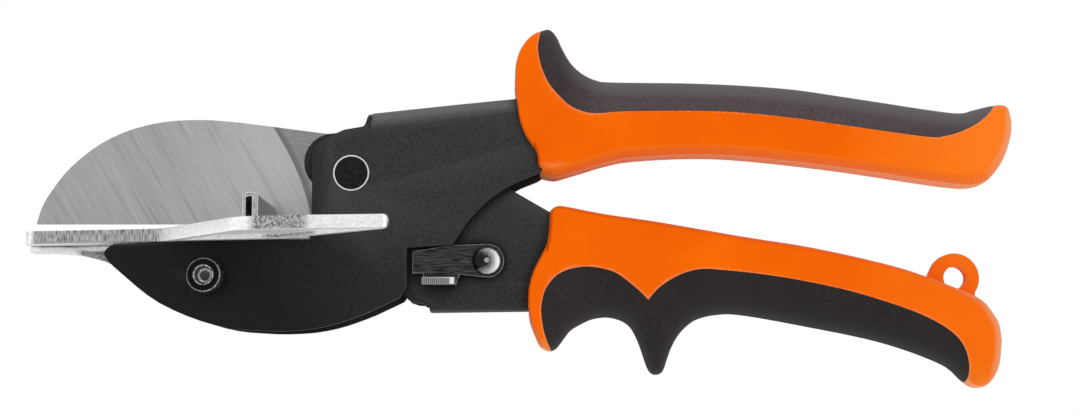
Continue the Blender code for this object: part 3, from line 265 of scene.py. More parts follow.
def edge_highlight_coat():
    """A paler coat for the rounded edges: a painted highlight where they catch the light, in patches."""
    material, tree, shader = principled("powder_coat_edge_highlight", Roughness=0.4)
    highlight_patches = noise(tree, 1.5, detail=4)
    tree.links.new(mixed(tree, ramp(tree, highlight_patches, 0, 1), colour("4a4a4b"), colour("8b8b8c")),
                   shader.inputs["Base Color"])
    return material


COAT = powder_coat()
EDGE_HIGHLIGHT = edge_highlight_coat()
print("coat:", COAT.name, "and", EDGE_HIGHLIGHT.name)

# %% [markdown]
# ## Blade steel
# A ground bevel keeps the wheel's long slanting lines, and the heel behind it is plainer. Noise
# stretched a hundred times along one direction gives such lines. The border between the two is
# a shallow curve, worked out from the place of each point.

# %% Blade steel
GRIND_TURN = 60
HEEL_CURVE = (0.0095, 0.41)
HEEL_LINE = (-14.2, -13.8)
HEEL_SHADE = (-14.4, -12.4)
BEVEL_PAINTED_LIGHT = (-50, -20)


def ground_steel():
    """Blade steel: long slanting grinding lines on the bevel, and a plainer face at the heel.
    The heel starts where x plus a square of y passes a line."""
    material, tree, shader = principled("ground_blade_steel", Metallic=1.0)
    x, y, _ = place_mm(tree)
    lines = noise(tree, 0.4, stretch=(0.01, 1, 1), turn=GRIND_TURN, detail=3)
    bands = noise(tree, 4, stretch=(0.03, 1, 1), turn=GRIND_TURN)
    scratches = noise(tree, 1.3, stretch=(0.004, 1, 1), turn=GRIND_TURN, detail=1)
    curve = calc(tree, "ADD", product(tree, y, HEEL_CURVE[0]), HEEL_CURVE[1])
    border = calc(tree, "ADD", x, product(tree, y, curve))
    heel = ramp(tree, border, 0, 1, *HEEL_LINE)
    base = mixed(tree, ramp(tree, bands, 0, 1), colour("a8a8a8"), colour("b3b3b3"))
    base = mixed(tree, ramp(tree, lines, 0, 0.4), base, colour("8e8e8e"))
    base = mixed(tree, ramp(tree, scratches, 0, 0.3, 0.60, 0.68), base, colour("7c7c7c"))
    # Painted light: the ground bevel turns paler towards the right.
    painted_light_side = mixed(tree, 0.14, base, colour("ffffff"))
    base = mixed(tree, ramp(tree, x, 0, 1, *BEVEL_PAINTED_LIGHT), base, painted_light_side)
    plain = mixed(tree, ramp(tree, noise(tree, 0.3, stretch=(0.1, 1, 1)), 0, 1),
                  colour("838383"), colour("9a9a9a"))
    plain = mixed(tree, band(tree, border, *HEEL_SHADE, 0.6), plain, colour("767676"))
    dress(tree, shader, mixed(tree, heel, base, plain), lines, 0.34, 0.46, 0.008)
    return material


BLADE_STEEL = ground_steel()
print("blade:", BLADE_STEEL.name, "with lines at", GRIND_TURN, "degrees")

# %% [markdown]
# ## Cast aluminium
# The table is a die casting with a bright, slightly uneven skin. In the photo the nose's edge has
# short strokes across it and the edge beside the fence is rough. Both lie only on faces that look
# out of the side, which the surface's normal tells.

# %% Cast aluminium
TABLE_SLOPE = 0.0238
NOSE_START = (-79.6, -78.4)
NOSE_FADE = (-48, -44)
ROUGH_ALONG = (-21, -8)
# Where the painted shade in the web's hollow lies, in mm from the pivot.
HOLLOW_ALONG = (-69, -50)
HOLLOW_SLOPE = 0.29
HOLLOW_LINE = (-42.7, -42.2)
STROKES_UNDER = (-16.5, -16.1)
ROUGH_UNDER = (-16.3, -15.9)
HOLLOW_UNDER = (-17.6, -17.2)


def cast_aluminium():
    """Die-cast aluminium: brushed on the nose's edge, rough on the edge beside the fence, grey in the
    web's hollow as painted shade, and bright elsewhere. Faces that look down are made less metallic, so
    they read bright: painted light."""
    material, tree, shader = principled("cast_aluminium", Metallic=1.0)
    x, y, _ = place_mm(tree)
    turned = normal(tree)
    skin = noise(tree, 0.7, detail=5)
    fine = noise(tree, 0.4, detail=5)
    strokes = noise(tree, 0.24, stretch=(1, 0.12, 0.3), detail=4)
    level = calc(tree, "SUBTRACT", y, product(tree, x, TABLE_SLOPE))
    edge_on = ramp(tree, calc(tree, "ABSOLUTE", turned["Z"]), 0, 1, 0.4, 0.8)
    nose = product(tree, ramp(tree, x, 0, 1, *NOSE_START), ramp(tree, x, 1, 0, *NOSE_FADE),
                   ramp(tree, level, 0.15, 1, *STROKES_UNDER), edge_on)
    side = product(tree, band(tree, x, *ROUGH_ALONG, 1.0), edge_on,
                   ramp(tree, level, 0, 1, *ROUGH_UNDER))
    # Painted shade: grey under the plate in the web's hollow.
    hollow = calc(tree, "ADD", y, product(tree, x, HOLLOW_SLOPE))
    hollow = product(tree, ramp(tree, hollow, 0, 1, *HOLLOW_LINE),
                     ramp(tree, level, 1, 0, *HOLLOW_UNDER), band(tree, x, *HOLLOW_ALONG, 1.0))
    bright = mixed(tree, ramp(tree, skin, 0, 1), colour("e0e1e2"), colour("fcfcfc"))
    brushed = mixed(tree, ramp(tree, strokes, 0, 1, 0.36, 0.64), colour("646567"),
                    colour("c2c3c5"))
    rough = mixed(tree, ramp(tree, fine, 0, 1, 0.36, 0.64), colour("55575a"), colour("cbcccd"))
    grey = mixed(tree, ramp(tree, fine, 0, 1), colour("5f6062"), colour("a2a3a5"))
    shade = mixed(tree, hollow, mixed(tree, nose, bright, brushed), grey)
    # Painted light: faces that look down are less metallic, so they read bright.
    tree.links.new(ramp(tree, turned["Y"], 0.1, 1, -0.9, -0.4), shader.inputs["Metallic"])
    dress(tree, shader, mixed(tree, side, shade, rough), skin, 0.26, 0.44, 0.03)
    return material


CASTING = cast_aluminium()
print("casting:", CASTING.name)

# %% [markdown]
# ## Turned and plated metals
# Screws, nuts and pins differ only in tint and sheen, so one function makes them all: a metal whose
# colour and roughness vary a little over fine grain. A socket screw also gets bright rings about its
# axis, on its chamfer and in its socket, stronger on the right: painted highlights.

# %% Turned and plated metals


def plain_metal(name, first, second, smoothest, roughest, grain_mm=0.6):
    """Turned or plated metal whose sheen varies a little over fine grain."""
    material, tree, shader = principled(name, Metallic=1.0)
    grain = noise(tree, grain_mm)
    tint = mixed(tree, ramp(tree, grain, 0, 1), colour(first), colour(second))
    dress(tree, shader, tint, grain, smoothest, roughest, 0.006)
    return material


def ring_highlighted(name, centre, dark, bright, rings):
    """Dark turned steel with painted highlights in rings about an axis, each given by its inner radius,
    outer radius and strength. The painted highlights are stronger on the right, and come in patches over
    the grain."""
    material, tree, shader = principled(name, Metallic=1.0)
    across, squares = off_axis(tree, centre)
    radius = calc(tree, "SQRT", squares)
    painted_highlights = 0.0
    for low, high, strength in rings:
        ring = product(tree, band(tree, radius, low, high, 0.06), strength)
        painted_highlights = calc(tree, "MAXIMUM", ring, painted_highlights)
    grain = noise(tree, 0.5, detail=4)
    # Painted highlights, stronger on the right and broken up by the grain.
    ring_glints = product(tree, painted_highlights, ramp(tree, across, 0.7, 1.0, -4, 4),
                     ramp(tree, grain, 0.3, 1, 0.4, 0.6))
    dress(tree, shader, mixed(tree, ring_glints, colour(dark), colour(bright)), grain, 0.22, 0.36)
    return material


SCREW_AXIS = middle("table_screw")
# Rings of painted highlight on the screw's head: inner radius, outer radius and strength, in mm.
SCREW_HIGHLIGHT_RINGS = [(3.92, 4.2, 0.55), (4.2, 4.6, 1), (2.2, 2.5, 1), (1.3, 1.8, 0.8), (0, 2.2, 0.12)]
CASTING_EDGE = plain_metal("polished_casting_edge", "e6e7e8", "fafafa", 0.2, 0.34)
BLACK_OXIDE = plain_metal("black_oxide_steel", "19191a", "2c2c2d", 0.26, 0.4)
SCREW_STEEL = ring_highlighted("black_oxide_screw", SCREW_AXIS, "161617", "dcdddf", SCREW_HIGHLIGHT_RINGS)
BRIGHT = plain_metal("bright_zinc_steel", "c9cacc", "e9eaeb", 0.14, 0.26)
FENCE_STEEL = plain_metal("pressed_zinc_strip", "8b8c8d", "c3c4c5", 0.3, 0.5, 0.9)
LATCH_EDGE = plain_metal("bright_latch_edge", "8f9091", "c6c7c8", 0.25, 0.4)
print("screw's axis in mm from the pivot:", [round(v / MM, 1) for v in SCREW_AXIS])

# %% [markdown]
# ## Latch and rivet
# The latch is stamped from dark steel, brushed along its length. Its tab is bent up towards the eye, so
# its end shows fine pressed ridges inside a rim. The ridges are a sine along the tab, painted as pale and
# dark stripes of light and shade, and the bright rim is a painted highlight. The rivet's head is painted
# dark on the left and bright on the right, with a bright spot in its dimple: painted light and shade.

# %% Latch and rivet steel
TAB_END = reach("latch_lever", 1, 2) / MM
TAB_BASE = -reach("latch_lever", 0, 1) / MM
TAB_FACE = (18.8, 25.0)
TAB_RIM = (18, 25.4)
RIDGE_SPACING = 0.5


def brushed_dark():
    """Dark steel of the latch, brushed along its length. The thumb tab's end gets painted light and
    shade: pale and dark stripes on its ridges and a bright rim; gaps get painted shade.
    """
    material, tree, shader = principled("dark_brushed_steel", Metallic=1.0)
    x, y, z = place_mm(tree)
    lines = noise(tree, 0.22, stretch=(0.07, 1, 1), detail=4)
    tint = mixed(tree, ramp(tree, lines, 0, 1, 0.36, 0.64), colour("171718"), colour("4f4f50"))
    # Painted light and shade: the ridges are pale and dark stripes, and the end's rim a bright highlight,
    # darker at its base.
    ridges = calc(tree, "SINE", product(tree, x, 2 * math.pi / RIDGE_SPACING))
    painted_highlights = mixed(tree, ramp(tree, ridges, 0, 1, -1, 1), colour("4a4a4b"), colour("a4a4a5"))
    face = product(tree, band(tree, x, *TAB_FACE, 0.15),
                   band(tree, y, TAB_BASE - 0.2, TAB_BASE + 1.6, 0.12))
    rim = mixed(tree, ramp(tree, x, 0, 1, *TAB_RIM), colour("77777a"), colour("e8e8e9"))
    rim = mixed(tree, ramp(tree, y, 0, 1, TAB_BASE - 0.1, TAB_BASE + 0.3), colour("6a6a6b"), rim)
    painted_highlights = mixed(tree, face, rim, painted_highlights)
    tint = mixed(tree, ramp(tree, z, 0, 1, TAB_END - 0.9, TAB_END - 0.3), tint, painted_highlights)
    # Painted shade in gaps.
    dress(tree, shader, painted_gap_shade(tree, tint, 1.6), lines, 0.28, 0.42, 0.012)
    return material


def rivet_steel(centre):
    """Dull steel of the latch's rivet, with painted light and shade. Its tint follows the distance from
    its axis, plus a share of how far right it lies: dark on the left, bright on the right, with a bright
    spot in the dimple."""
    material, tree, shader = principled("rivet_steel_painted_light", Metallic=1.0)
    across, squares = off_axis(tree, centre)
    # Painted light and shade: dark on the left and bright on the right.
    painted_light_lean = calc(tree, "ADD", calc(tree, "SQRT", squares), product(tree, across, 0.85))
    grain = noise(tree, 0.5, detail=4)
    painted_light_lean = calc(tree, "ADD", painted_light_lean, ramp(tree, grain, -0.5, 0.5))
    shade = mixed(tree, ramp(tree, painted_light_lean, 0, 1, 0.9, 4.8), colour("252526"), colour("cfcfd0"))
    # Painted highlight: a bright spot in the dimple.
    shade = mixed(tree, ramp(tree, squares, 0.7, 0, 0.1, 0.6), shade, colour("bdbdbe"))
    dress(tree, shader, shade, grain, 0.2, 0.34, 0.01)
    return material


RIVET_AXIS = middle("latch_rivet")
LATCH_STEEL = brushed_dark()
RIVET_STEEL = rivet_steel(RIVET_AXIS)
print("latch:", LATCH_STEEL.name, "and", RIVET_STEEL.name)

# %% [markdown]
# ## Grip plastics
# The shell is hard orange polypropylene and the pad a soft dark rubber, moulded in two shots.
# Real plastic isn't one flat colour: it varies slowly over centimetres, and the rubber has tiny pits.
# Each is a pattern mixed into the tint. The mould's parting line is a real line, drawn as a pale thread
# of painted highlight, and the shell's tail, end, chin, lower walls and seam get painted light, highlight
# and reflection as well.

# %% Orange shell
TAIL_ALONG = (122, 156)
TAIL_UP = (-30, -8)
END_ALONG = (140, 150)
CHIN_ALONG = (47, 54)
CHIN_UP = (-4, 1.2)
PARTING_LINE = (2.9, 3.9)
PARTING_SOFT = (2.4, 3.4)


def shell_plastic():
    """Orange moulded polypropylene with a fine grain, and painted light: the tail is lighter, the chin
    has a pale highlight, and the lower walls and the end are paler, as a painted reflection of the white
    table. The mould's parting line along them is a pale painted highlight, and a thin pale painted
    highlight follows the seam with the pad."""
    material, tree, shader = principled("orange_polypropylene", Specular_IOR_Level=0.04)
    grain = noise(tree, 0.5)
    cloud = noise(tree, 26)
    x, y, z = place_mm(tree)
    turned = normal(tree)
    tint = mixed(tree, ramp(tree, cloud, 0, 1), colour("ee5f00"), colour("fa6d00"))
    # Painted light: lighter towards the tail, most near its top.
    tail = product(tree, ramp(tree, x, 0, 0.8, *TAIL_ALONG), ramp(tree, y, 0.3, 1, *TAIL_UP))
    tint = mixed(tree, tail, tint, colour("ff8020"))
    # Painted reflection: paler on the faces at the end that look out past it.
    end = product(tree, ramp(tree, turned["X"], 0, 0.6, 0.25, 0.8),
                  ramp(tree, x, 0, 1, *END_ALONG))
    tint = mixed(tree, end, tint, colour("ffae7c"))
    # Painted highlight on the chin.
    chin = product(tree, band(tree, x, *CHIN_ALONG, 2.5), band(tree, y, *CHIN_UP, 1.6), 0.6)
    tint = mixed(tree, chin, tint, colour("ffa66c"))
    # Painted light on walls that look down, a painted reflection below the parting line, and the parting
    # line itself a pale painted highlight.
    wall = ramp(tree, turned["Y"], 1, 0, -0.85, -0.3)
    below = ramp(tree, z, 1, 0, *PARTING_SOFT)
    parting = band(tree, z, *PARTING_LINE, 0.4)
    tint = mixed(tree, wall, tint, colour("ff7d1c"))
    tint = mixed(tree, product(tree, wall, below), tint, colour("ffa26a"))
    tint = mixed(tree, product(tree, wall, parting), tint, colour("ffba86"))
    # Painted highlight: a thin pale line along the seam with the pad.
    seam = node(tree, "Attribute", attribute_name="seam").outputs["Fac"]
    tint = mixed(tree, ramp(tree, seam, 0, 0.45, 0.05, 0.6), tint, colour("eda070"))
    dress(tree, shader, tint, grain, 0.32, 0.42, 0.006)
    return material


ORANGE = shell_plastic()
print("shell:", ORANGE.name)

# %% [markdown]
# ## Soft pads
# The rubber is matt, with moulded pits of about half a millimetre. The pads that lie higher in the
# picture look lighter, so both greys are painted lighter with height; faces that look up get a painted
# sheen, and the horn and gaps painted shade.

# %% Dark pads
PAD_UP = (-4, 12)
HORN_ALONG = (52, 64)


def pad_rubber():
    """Dark soft rubber with the moulded grain of tiny pits. A dull sheen on its round and greys that turn
    lighter with height are painted light; the darker horn and gaps are painted shade.
    """
    material, tree, shader = principled("dark_soft_rubber", Specular_IOR_Level=0.14)
    pits = noise(tree, 0.45, detail=4)
    cloud = noise(tree, 16)
    x, y, _ = place_mm(tree)
    tint = mixed(tree, ramp(tree, cloud, 0, 1), colour("181414"), colour("211b1b"))
    # Painted light: lighter with height.
    tint = mixed(tree, ramp(tree, y, 0, 0.8, *PAD_UP), tint, colour("4b3d3e"))
    # Painted shade: the horn is darker.
    horn = ramp(tree, x, 0.75, 0, *HORN_ALONG)
    # Painted sheen on faces that look up.
    tint = painted_light_from_above(tree, tint, colour("565253"), 0.05, 0.6)
    tint = mixed(tree, horn, tint, colour("1f1819"))
    # The pits' paler speck is painted lighter with height and darker on the horn.
    light = mixed(tree, ramp(tree, y, 0, 1, *PAD_UP), colour("3c3737"), colour("6c6364"))
    light = mixed(tree, horn, light, colour("453e3f"))
    tint = mixed(tree, ramp(tree, pits, 0, 0.45), tint, light)
    # Painted shade in gaps.
    dress(tree, shader, painted_gap_shade(tree, tint, 1.5, 0.4), pits, 0.5, 0.7, 0.08)
    return material


RUBBER = pad_rubber()
print("pad:", RUBBER.name)

# %% [markdown]
# ## Building surfaces
# Each new piece is a grid of points worked out at once from a few curves, then given one
# material and a body to ride on.

# %% Surface builders


def added(name, data):
    """Put a mesh, a camera or a light in the scene."""
    made = bpy.data.objects.new(name, data)
    bpy.context.scene.collection.objects.link(made)
    return made


def piece(name, mesh, material, slot, body, *nodes):
    """Put a mesh in the scene as a piece that rides on a body and stands for CAD nodes."""
    made = added(name, mesh)
    mesh.materials.append(material)
    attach(made, body)
    if nodes:
        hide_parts(*nodes)
    return made


def grid_mesh(name, parts):
    """Join grids of points into one mesh. Each part is an array of rows, columns and xyz."""
    points = []
    faces = []
    start = 0
    for grid in parts:
        rows, columns = grid.shape[:2]
        index = start + np.arange(rows * columns).reshape(rows, columns)
        quads = np.stack([index[:-1, :-1], index[1:, :-1], index[1:, 1:], index[:-1, 1:]], axis=-1)
        faces.append(quads.reshape(-1, 4))
        points.append(grid.reshape(-1, 3))
        start += rows * columns
    mesh = bpy.data.meshes.new(name)
    mesh.from_pydata(np.concatenate(points).tolist(), [], np.concatenate(faces).tolist())
    return mesh


def finished(mesh, angle=30, weld=0.004 * MM):
    """Weld a mesh's seams, turn its faces outwards and shade it smooth between crisp edges."""
    bm = bmesh.new()
    bm.from_mesh(mesh)
    bmesh.ops.remove_doubles(bm, verts=bm.verts, dist=weld)
    bmesh.ops.dissolve_degenerate(bm, edges=bm.edges, dist=weld)
    bmesh.ops.recalc_face_normals(bm, faces=bm.faces)
    bm.to_mesh(mesh)
    bm.free()
    mesh.shade_smooth()
    mesh.set_sharp_from_angle(angle=math.radians(angle))
    return mesh


def smooth(points, steps=12):
    """Run a Catmull-Rom curve through the points: a cubic that passes through every one."""
    p = np.array(points, dtype=float)
    padded = np.vstack([2 * p[0] - p[1], p, 2 * p[-1] - p[-2]])
    t = (np.arange(steps) / steps)[None, :, None]
    a, b, c, d = (padded[k:k + len(p) - 1][:, None, :] for k in range(4))
    curve = (2 * b + (c - a) * t + (2 * a - 5 * b + 4 * c - d) * t ** 2
             + (3 * b - a - 3 * c + d) * t ** 3) / 2
    return np.vstack([curve.reshape(-1, 2), p[-1:]])


def height_at(line, x):
    """Height of a line of points at places along it."""
    order = np.argsort(line[:, 0], kind="stable")
    return np.interp(x, line[order, 0], line[order, 1])


def circle(angle):
    """Points on a circle of radius one at the given angles."""
    return np.stack([np.cos(angle), np.sin(angle)], axis=1)


def from_pivot(grid):
    """Move points that are measured from the pivot to their place in the frame."""
    return grid + PIVOT


def prism_mesh(name, outline, low, high):
    """A closed outline extruded between two depths, as a tool for cutting."""
    bm = bmesh.new()
    area = sum(a[0] * b[1] - b[0] * a[1] for a, b in zip(outline, np.roll(outline, -1, axis=0)))
    ordered = outline if area > 0 else outline[::-1]
    base = [bm.verts.new(tuple(np.array([x, y, low]) + PIVOT)) for x, y in ordered]
    made = bmesh.ops.extrude_face_region(bm, geom=[bm.faces.new(base)])
    top = [v for v in made["geom"] if isinstance(v, bmesh.types.BMVert)]
    bmesh.ops.translate(bm, verts=top, vec=(0, 0, high - low))
    bmesh.ops.recalc_face_normals(bm, faces=bm.faces)
    mesh = bpy.data.meshes.new(name)
    bm.to_mesh(mesh)
    bm.free()
    return mesh


def cut(mesh, tool, operation):
    """Apply a Boolean to a mesh at once and return the new mesh."""
    body = added("cut_body", mesh)
    other = added("cut_tool", tool)
    modifier = body.modifiers.new("cut", "BOOLEAN")
    modifier.operation = operation
    modifier.solver = "EXACT"
    modifier.object = other
    graph = bpy.context.evaluated_depsgraph_get()
    result = bpy.data.meshes.new_from_object(body.evaluated_get(graph))
    for made in (body, other):
        bpy.data.objects.remove(made)
    return result


print("builders ready")

# %% [markdown]
# ## Grips
# A grip is given by the top and bottom lines of its side view. Its half thickness rises from
# zero at the outline like a quarter ellipse, over one edge radius, and is flat beyond it.

# %% Grip outlines as shares of the reach, rise and drop on each side of the pivot
UPPER_TOP = [
    (0.243, 0.587), (0.245, 0.742), (0.253, 0.849), (0.268, 0.948), (0.285, 0.992),
    (0.297, 1.000), (0.307, 0.958), (0.316, 0.872), (0.329, 0.775), (0.346, 0.702),
    (0.368, 0.655), (0.395, 0.642), (0.529, 0.632), (0.653, 0.598), (0.746, 0.540),
    (0.871, 0.454), (0.921, 0.428), (0.944, 0.446), (0.967, 0.470), (0.984, 0.478),
    (0.995, 0.449), (1.000, 0.355),
]
UPPER_BOTTOM = [
    (0.243, 0.587), (0.2445, 0.510), (0.2465, 0.434), (0.250, 0.338), (0.257, 0.250),
    (0.2663, 0.182), (0.2738, 0.130), (0.2754, 0.085), (0.2768, 0.042), (0.283, 0.006),
    (0.292, -0.100), (0.303, -0.220), (0.316, -0.038), (0.346, 0.037),
    (0.382, 0.084), (0.419, 0.115), (0.503, 0.136), (0.587, 0.125), (0.727, 0.057),
    (0.868, -0.538), (0.910, -0.885), (0.934, -1.000), (0.955, -0.692), (0.972, 0.018),
    (0.987, 0.117), (0.998, 0.256), (1.000, 0.355),
]
UPPER_SEAM = [
    (0.288, 1.057), (0.281, 0.888), (0.279, 0.817), (0.283, 0.710), (0.294, 0.593),
    (0.309, 0.509), (0.328, 0.433), (0.350, 0.394), (0.371, 0.386), (0.417, 0.399),
    (0.549, 0.399), (0.653, 0.360), (0.778, 0.282), (0.862, 0.232), (0.886, 0.238),
    (0.911, 0.269), (0.940, 0.337), (0.965, 0.444), (0.978, 0.550),
]
LOWER_TOP = [
    (0.270, -0.620), (0.271, -0.539), (0.277, -0.466), (0.287, -0.400), (0.298, -0.331),
    (0.301, -0.282), (0.302, -0.231), (0.303, -0.180), (0.309, -0.156), (0.318, -0.145),
    (0.331, -0.148), (0.366, -0.169), (0.401, -0.188), (0.472, -0.220), (0.600, -0.288),
    (0.693, -0.333), (0.771, -0.382), (0.848, -0.442), (0.909, -0.509), (0.948, -0.553),
    (0.971, -0.590), (0.985, -0.639), (0.996, -0.699), (1.000, -0.780),
]
LOWER_BOTTOM = [
    (0.270, -0.620), (0.274, -0.695), (0.282, -0.761), (0.289, -0.805), (0.297, -0.823),
    (0.305, -0.829), (0.314, -0.816), (0.321, -0.789), (0.329, -0.754), (0.337, -0.724),
    (0.351, -0.695), (0.368, -0.671), (0.387, -0.662), (0.402, -0.667), (0.417, -0.684),
    (0.429, -0.714), (0.438, -0.763), (0.445, -0.818), (0.451, -0.874), (0.457, -0.917),
    (0.466, -0.934), (0.477, -0.921), (0.483, -0.874), (0.490, -0.814), (0.501, -0.752),
    (0.515, -0.705), (0.532, -0.671), (0.560, -0.650), (0.599, -0.650), (0.691, -0.699),
    (0.814, -0.786), (0.906, -0.887), (0.940, -0.968), (0.953, -0.996), (0.967, -1.000),
    (0.979, -0.981), (0.989, -0.940), (0.996, -0.880), (1.000, -0.780),
]
LOWER_SEAM = [
    (0.314, -0.884), (0.306, -0.827), (0.300, -0.789), (0.295, -0.742), (0.292, -0.688),
    (0.291, -0.641), (0.293, -0.594), (0.298, -0.547), (0.309, -0.500), (0.320, -0.474),
    (0.335, -0.455), (0.358, -0.444), (0.381, -0.451), (0.402, -0.470), (0.420, -0.506),
    (0.439, -0.555), (0.453, -0.598),
]
LOWER_SEAM_REAR = [
    (0.453, -0.598), (0.467, -0.549), (0.486, -0.506), (0.509, -0.472), (0.534, -0.455),
    (0.565, -0.459), (0.626, -0.479), (0.687, -0.509), (0.763, -0.560), (0.839, -0.633),
    (0.883, -0.690), (0.914, -0.752), (0.930, -0.816), (0.938, -0.893), (0.941, -0.966),
    (0.944, -1.053),
]
GRIP_SAG = 2.6 * MM


def outline(shares, across, rise, drop):
    """Shares of the sizes on each side of the pivot, as points in metres."""
    s = np.array(shares)
    return np.stack([s[:, 0] * across, s[:, 1] * np.where(s[:, 1] > 0, rise, drop)], axis=1)


def trimmed(line, places, drops, tail_start, shorter):
    """Lower a line by amounts that vary along it, and draw its last stretch back, in mm."""
    x, y = line.T / MM
    back = shorter * np.clip((x - tail_start) / 10, 0, 1)
    return np.stack([x - back, y - np.interp(x, places, drops)], axis=1) * MM


upper = [outline(s, HANDLE_REACH, HORN_RISE, GRIP_SAG) for s in (UPPER_TOP, UPPER_BOTTOM, UPPER_SEAM)]
upper[0] = trimmed(upper[0], [40, 46, 52, 58, 110, 150, 158], [0, 0.7, 0.5, 0.4, 0.3, 0.2, 0], 146, 0.4)
upper[1] = trimmed(upper[1], [41, 161], [0, 0], 146, 0.4)
lower = [outline(s, LOWER_REACH, HORN_RISE, TAIL_DROP) for s in (LOWER_TOP, LOWER_BOTTOM, LOWER_SEAM)]
lower[0] = trimmed(lower[0], [48, 161], [0, 0], 150, 0.3)
lower[1] = trimmed(lower[1], [50, 58, 66, 70, 74, 84, 115, 130],
                   [0, 0.5, 0.3, 0.2, 0.3, 0.4, 0.4, 0], 150, 0.3)
lower_rear = outline(LOWER_SEAM_REAR, LOWER_REACH, HORN_RISE, TAIL_DROP)
print("upper grip:", len(UPPER_TOP) + len(UPPER_BOTTOM), "outline points")

# %% [markdown]
# ## Thickness of a grip
# A moulded grip swells from its rim, more softly on the pad's side. The distance to the nearest
# point of the outline would leave creases where that point changes, so a smooth mean over the
# whole outline takes its place.

# %% Grip surface
SHELL_EDGE = 2.0 * MM
PAD_EDGE = 5.6 * MM
MOUTH_EDGE = 0.7 * MM
MOUTH_BLEND = 12 * MM
TAIL_EDGE = 4.0 * MM
TAIL_BLEND = 16 * MM
TAIL_THINNING = 1.0 * MM
FIELD_POWER = 5
FIELD_SAMPLES = 2400


def grip_thickness(top, bottom, soft_side, x, y):
    """Half thickness at each point: a smooth mean of its distances to the outline, each over
    that stretch's edge radius, put through a quarter ellipse."""
    line = np.vstack([top, bottom[::-1][1:-1]])
    soft = np.concatenate([np.full(len(top), soft_side > 0), np.full(len(bottom) - 2, soft_side < 0)])
    closed = np.vstack([line, line[:1]])
    length = np.linalg.norm(np.diff(closed, axis=0), axis=1)
    along = np.concatenate([[0], np.cumsum(length)])
    places = np.linspace(0, along[-1], FIELD_SAMPLES, endpoint=False)
    sample = np.stack([np.interp(places, along, closed[:, k]) for k in (0, 1)], axis=1)
    softness = np.interp(places, along, np.append(soft, soft[0]).astype(float))
    mouth, tail = line[:, 0].min(), line[:, 0].max()
    ease = np.clip((sample[:, 0] - mouth) / MOUTH_BLEND, 0, 1)
    ease = ease * ease * (3 - 2 * ease)
    radius = MOUTH_EDGE + (SHELL_EDGE + (PAD_EDGE - SHELL_EDGE) * softness - MOUTH_EDGE) * ease
    swell = np.clip((sample[:, 0] - tail + TAIL_BLEND) / TAIL_BLEND, 0, 1)
    radius = radius + (TAIL_EDGE - radius) * swell * swell * (3 - 2 * swell)
    step = along[-1] / len(places)
    straight = math.sqrt(math.pi) * math.gamma((FIELD_POWER - 1) / 2) / math.gamma(FIELD_POWER / 2)
    depth = np.empty_like(x)
    for row in range(len(x)):
        gap = np.hypot(x[row][:, None] - sample[:, 0], y[row][:, None] - sample[:, 1])
        pull = (step * radius ** (FIELD_POWER - 1) / np.maximum(gap, step / 2) ** FIELD_POWER).sum(axis=1)
        depth[row] = np.clip((straight / pull) ** (1 / (FIELD_POWER - 1)), 0, 1)
    thin = TAIL_THINNING * np.clip((x - mouth) / (tail - mouth), 0, 1)
    z = (GRIP_HALF - thin) * np.sqrt(1 - (1 - depth) ** 2)
    z[:, [0, -1]] = 0
    z[[0, -1], :] = 0
    return z


def grip_mesh(name, top_points, bottom_points, soft_side, stations, rings):
    """The whole grip as a closed mesh, front and back, before it is divided at the seam."""
    top = smooth(top_points)
    bottom = smooth(bottom_points)
    t = np.linspace(0, 1, stations)
    eased = 0.6 * (1 - np.cos(np.pi * t)) / 2 + 0.4 * t
    xs = top[0, 0] + (top[-1, 0] - top[0, 0]) * eased
    share = (1 - np.cos(np.pi * np.linspace(0, 1, rings))) / 2
    tops, bottoms = height_at(top, xs), height_at(bottom, xs)
    y = bottoms[:, None] + (tops - bottoms)[:, None] * share
    x = np.repeat(xs[:, None], rings, axis=1)
    z = grip_thickness(top, bottom, soft_side, x, y)
    front = np.stack([x, y, z], axis=-1)
    back = np.stack([x, y, -z], axis=-1)
    return finished(grid_mesh(name, [from_pivot(front), from_pivot(back)]))


GRIP_RINGS = 56
upper_body = grip_mesh("upper_body", upper[0], upper[1], 1, 220, GRIP_RINGS)
lower_body = grip_mesh("lower_body", lower[0], lower[1], -1, 300, GRIP_RINGS)
print("grip bodies:", len(upper_body.polygons), "and", len(lower_body.polygons), "faces")

# %% [markdown]
# ## Two materials
# The shell and the pad are moulded into each other and meet at a seam. The grip is built whole
# and cut there, so both follow one surface. The shell is also cut where the frame lies in it.

# %% Divide the grips into shell and pad
EYE_PLACE = np.array([151.6, -25.7]) * MM
EYE_ROUND = 6.2
EYE_HOLE = 2.9
LUG_HALF = 1.8 * MM
LUG_EDGE = 0.4 * MM
POCKET_ROOM = 0.3 * MM
SEAM_GAP = 0.03 * MM
SEAM_LAP = 0.5 * MM
SEAM_LINE = 0.4 * MM
PAD_RECESS = 0.006
MARGIN = 10 * MM


def moved_across(line, distance):
    """A line moved sideways by a distance, to the left of its direction."""
    d = np.gradient(line, axis=0)
    d = d / np.linalg.norm(d, axis=1)[:, None]
    return line + np.stack([-d[:, 1], d[:, 0]], axis=1) * distance


def seam_region(arms, far, distance):
    """The pad's side of the seam, closed far outside the grip. Where two arms meet at a sharp
    corner, each is moved by itself and both end where they come nearest."""
    line = moved_across(arms[0], distance)
    for arm in arms[1:]:
        other = moved_across(arm, distance)
        gap = np.linalg.norm(line[:, None] - other[None, :], axis=2)
        last, first = np.unravel_index(gap.argmin(), gap.shape)
        line = np.vstack([line[:last], (line[last] + other[first]) / 2, other[first + 1:]])
    return np.vstack([line, [line[-1, 0], far], [line[0, 0], far]])


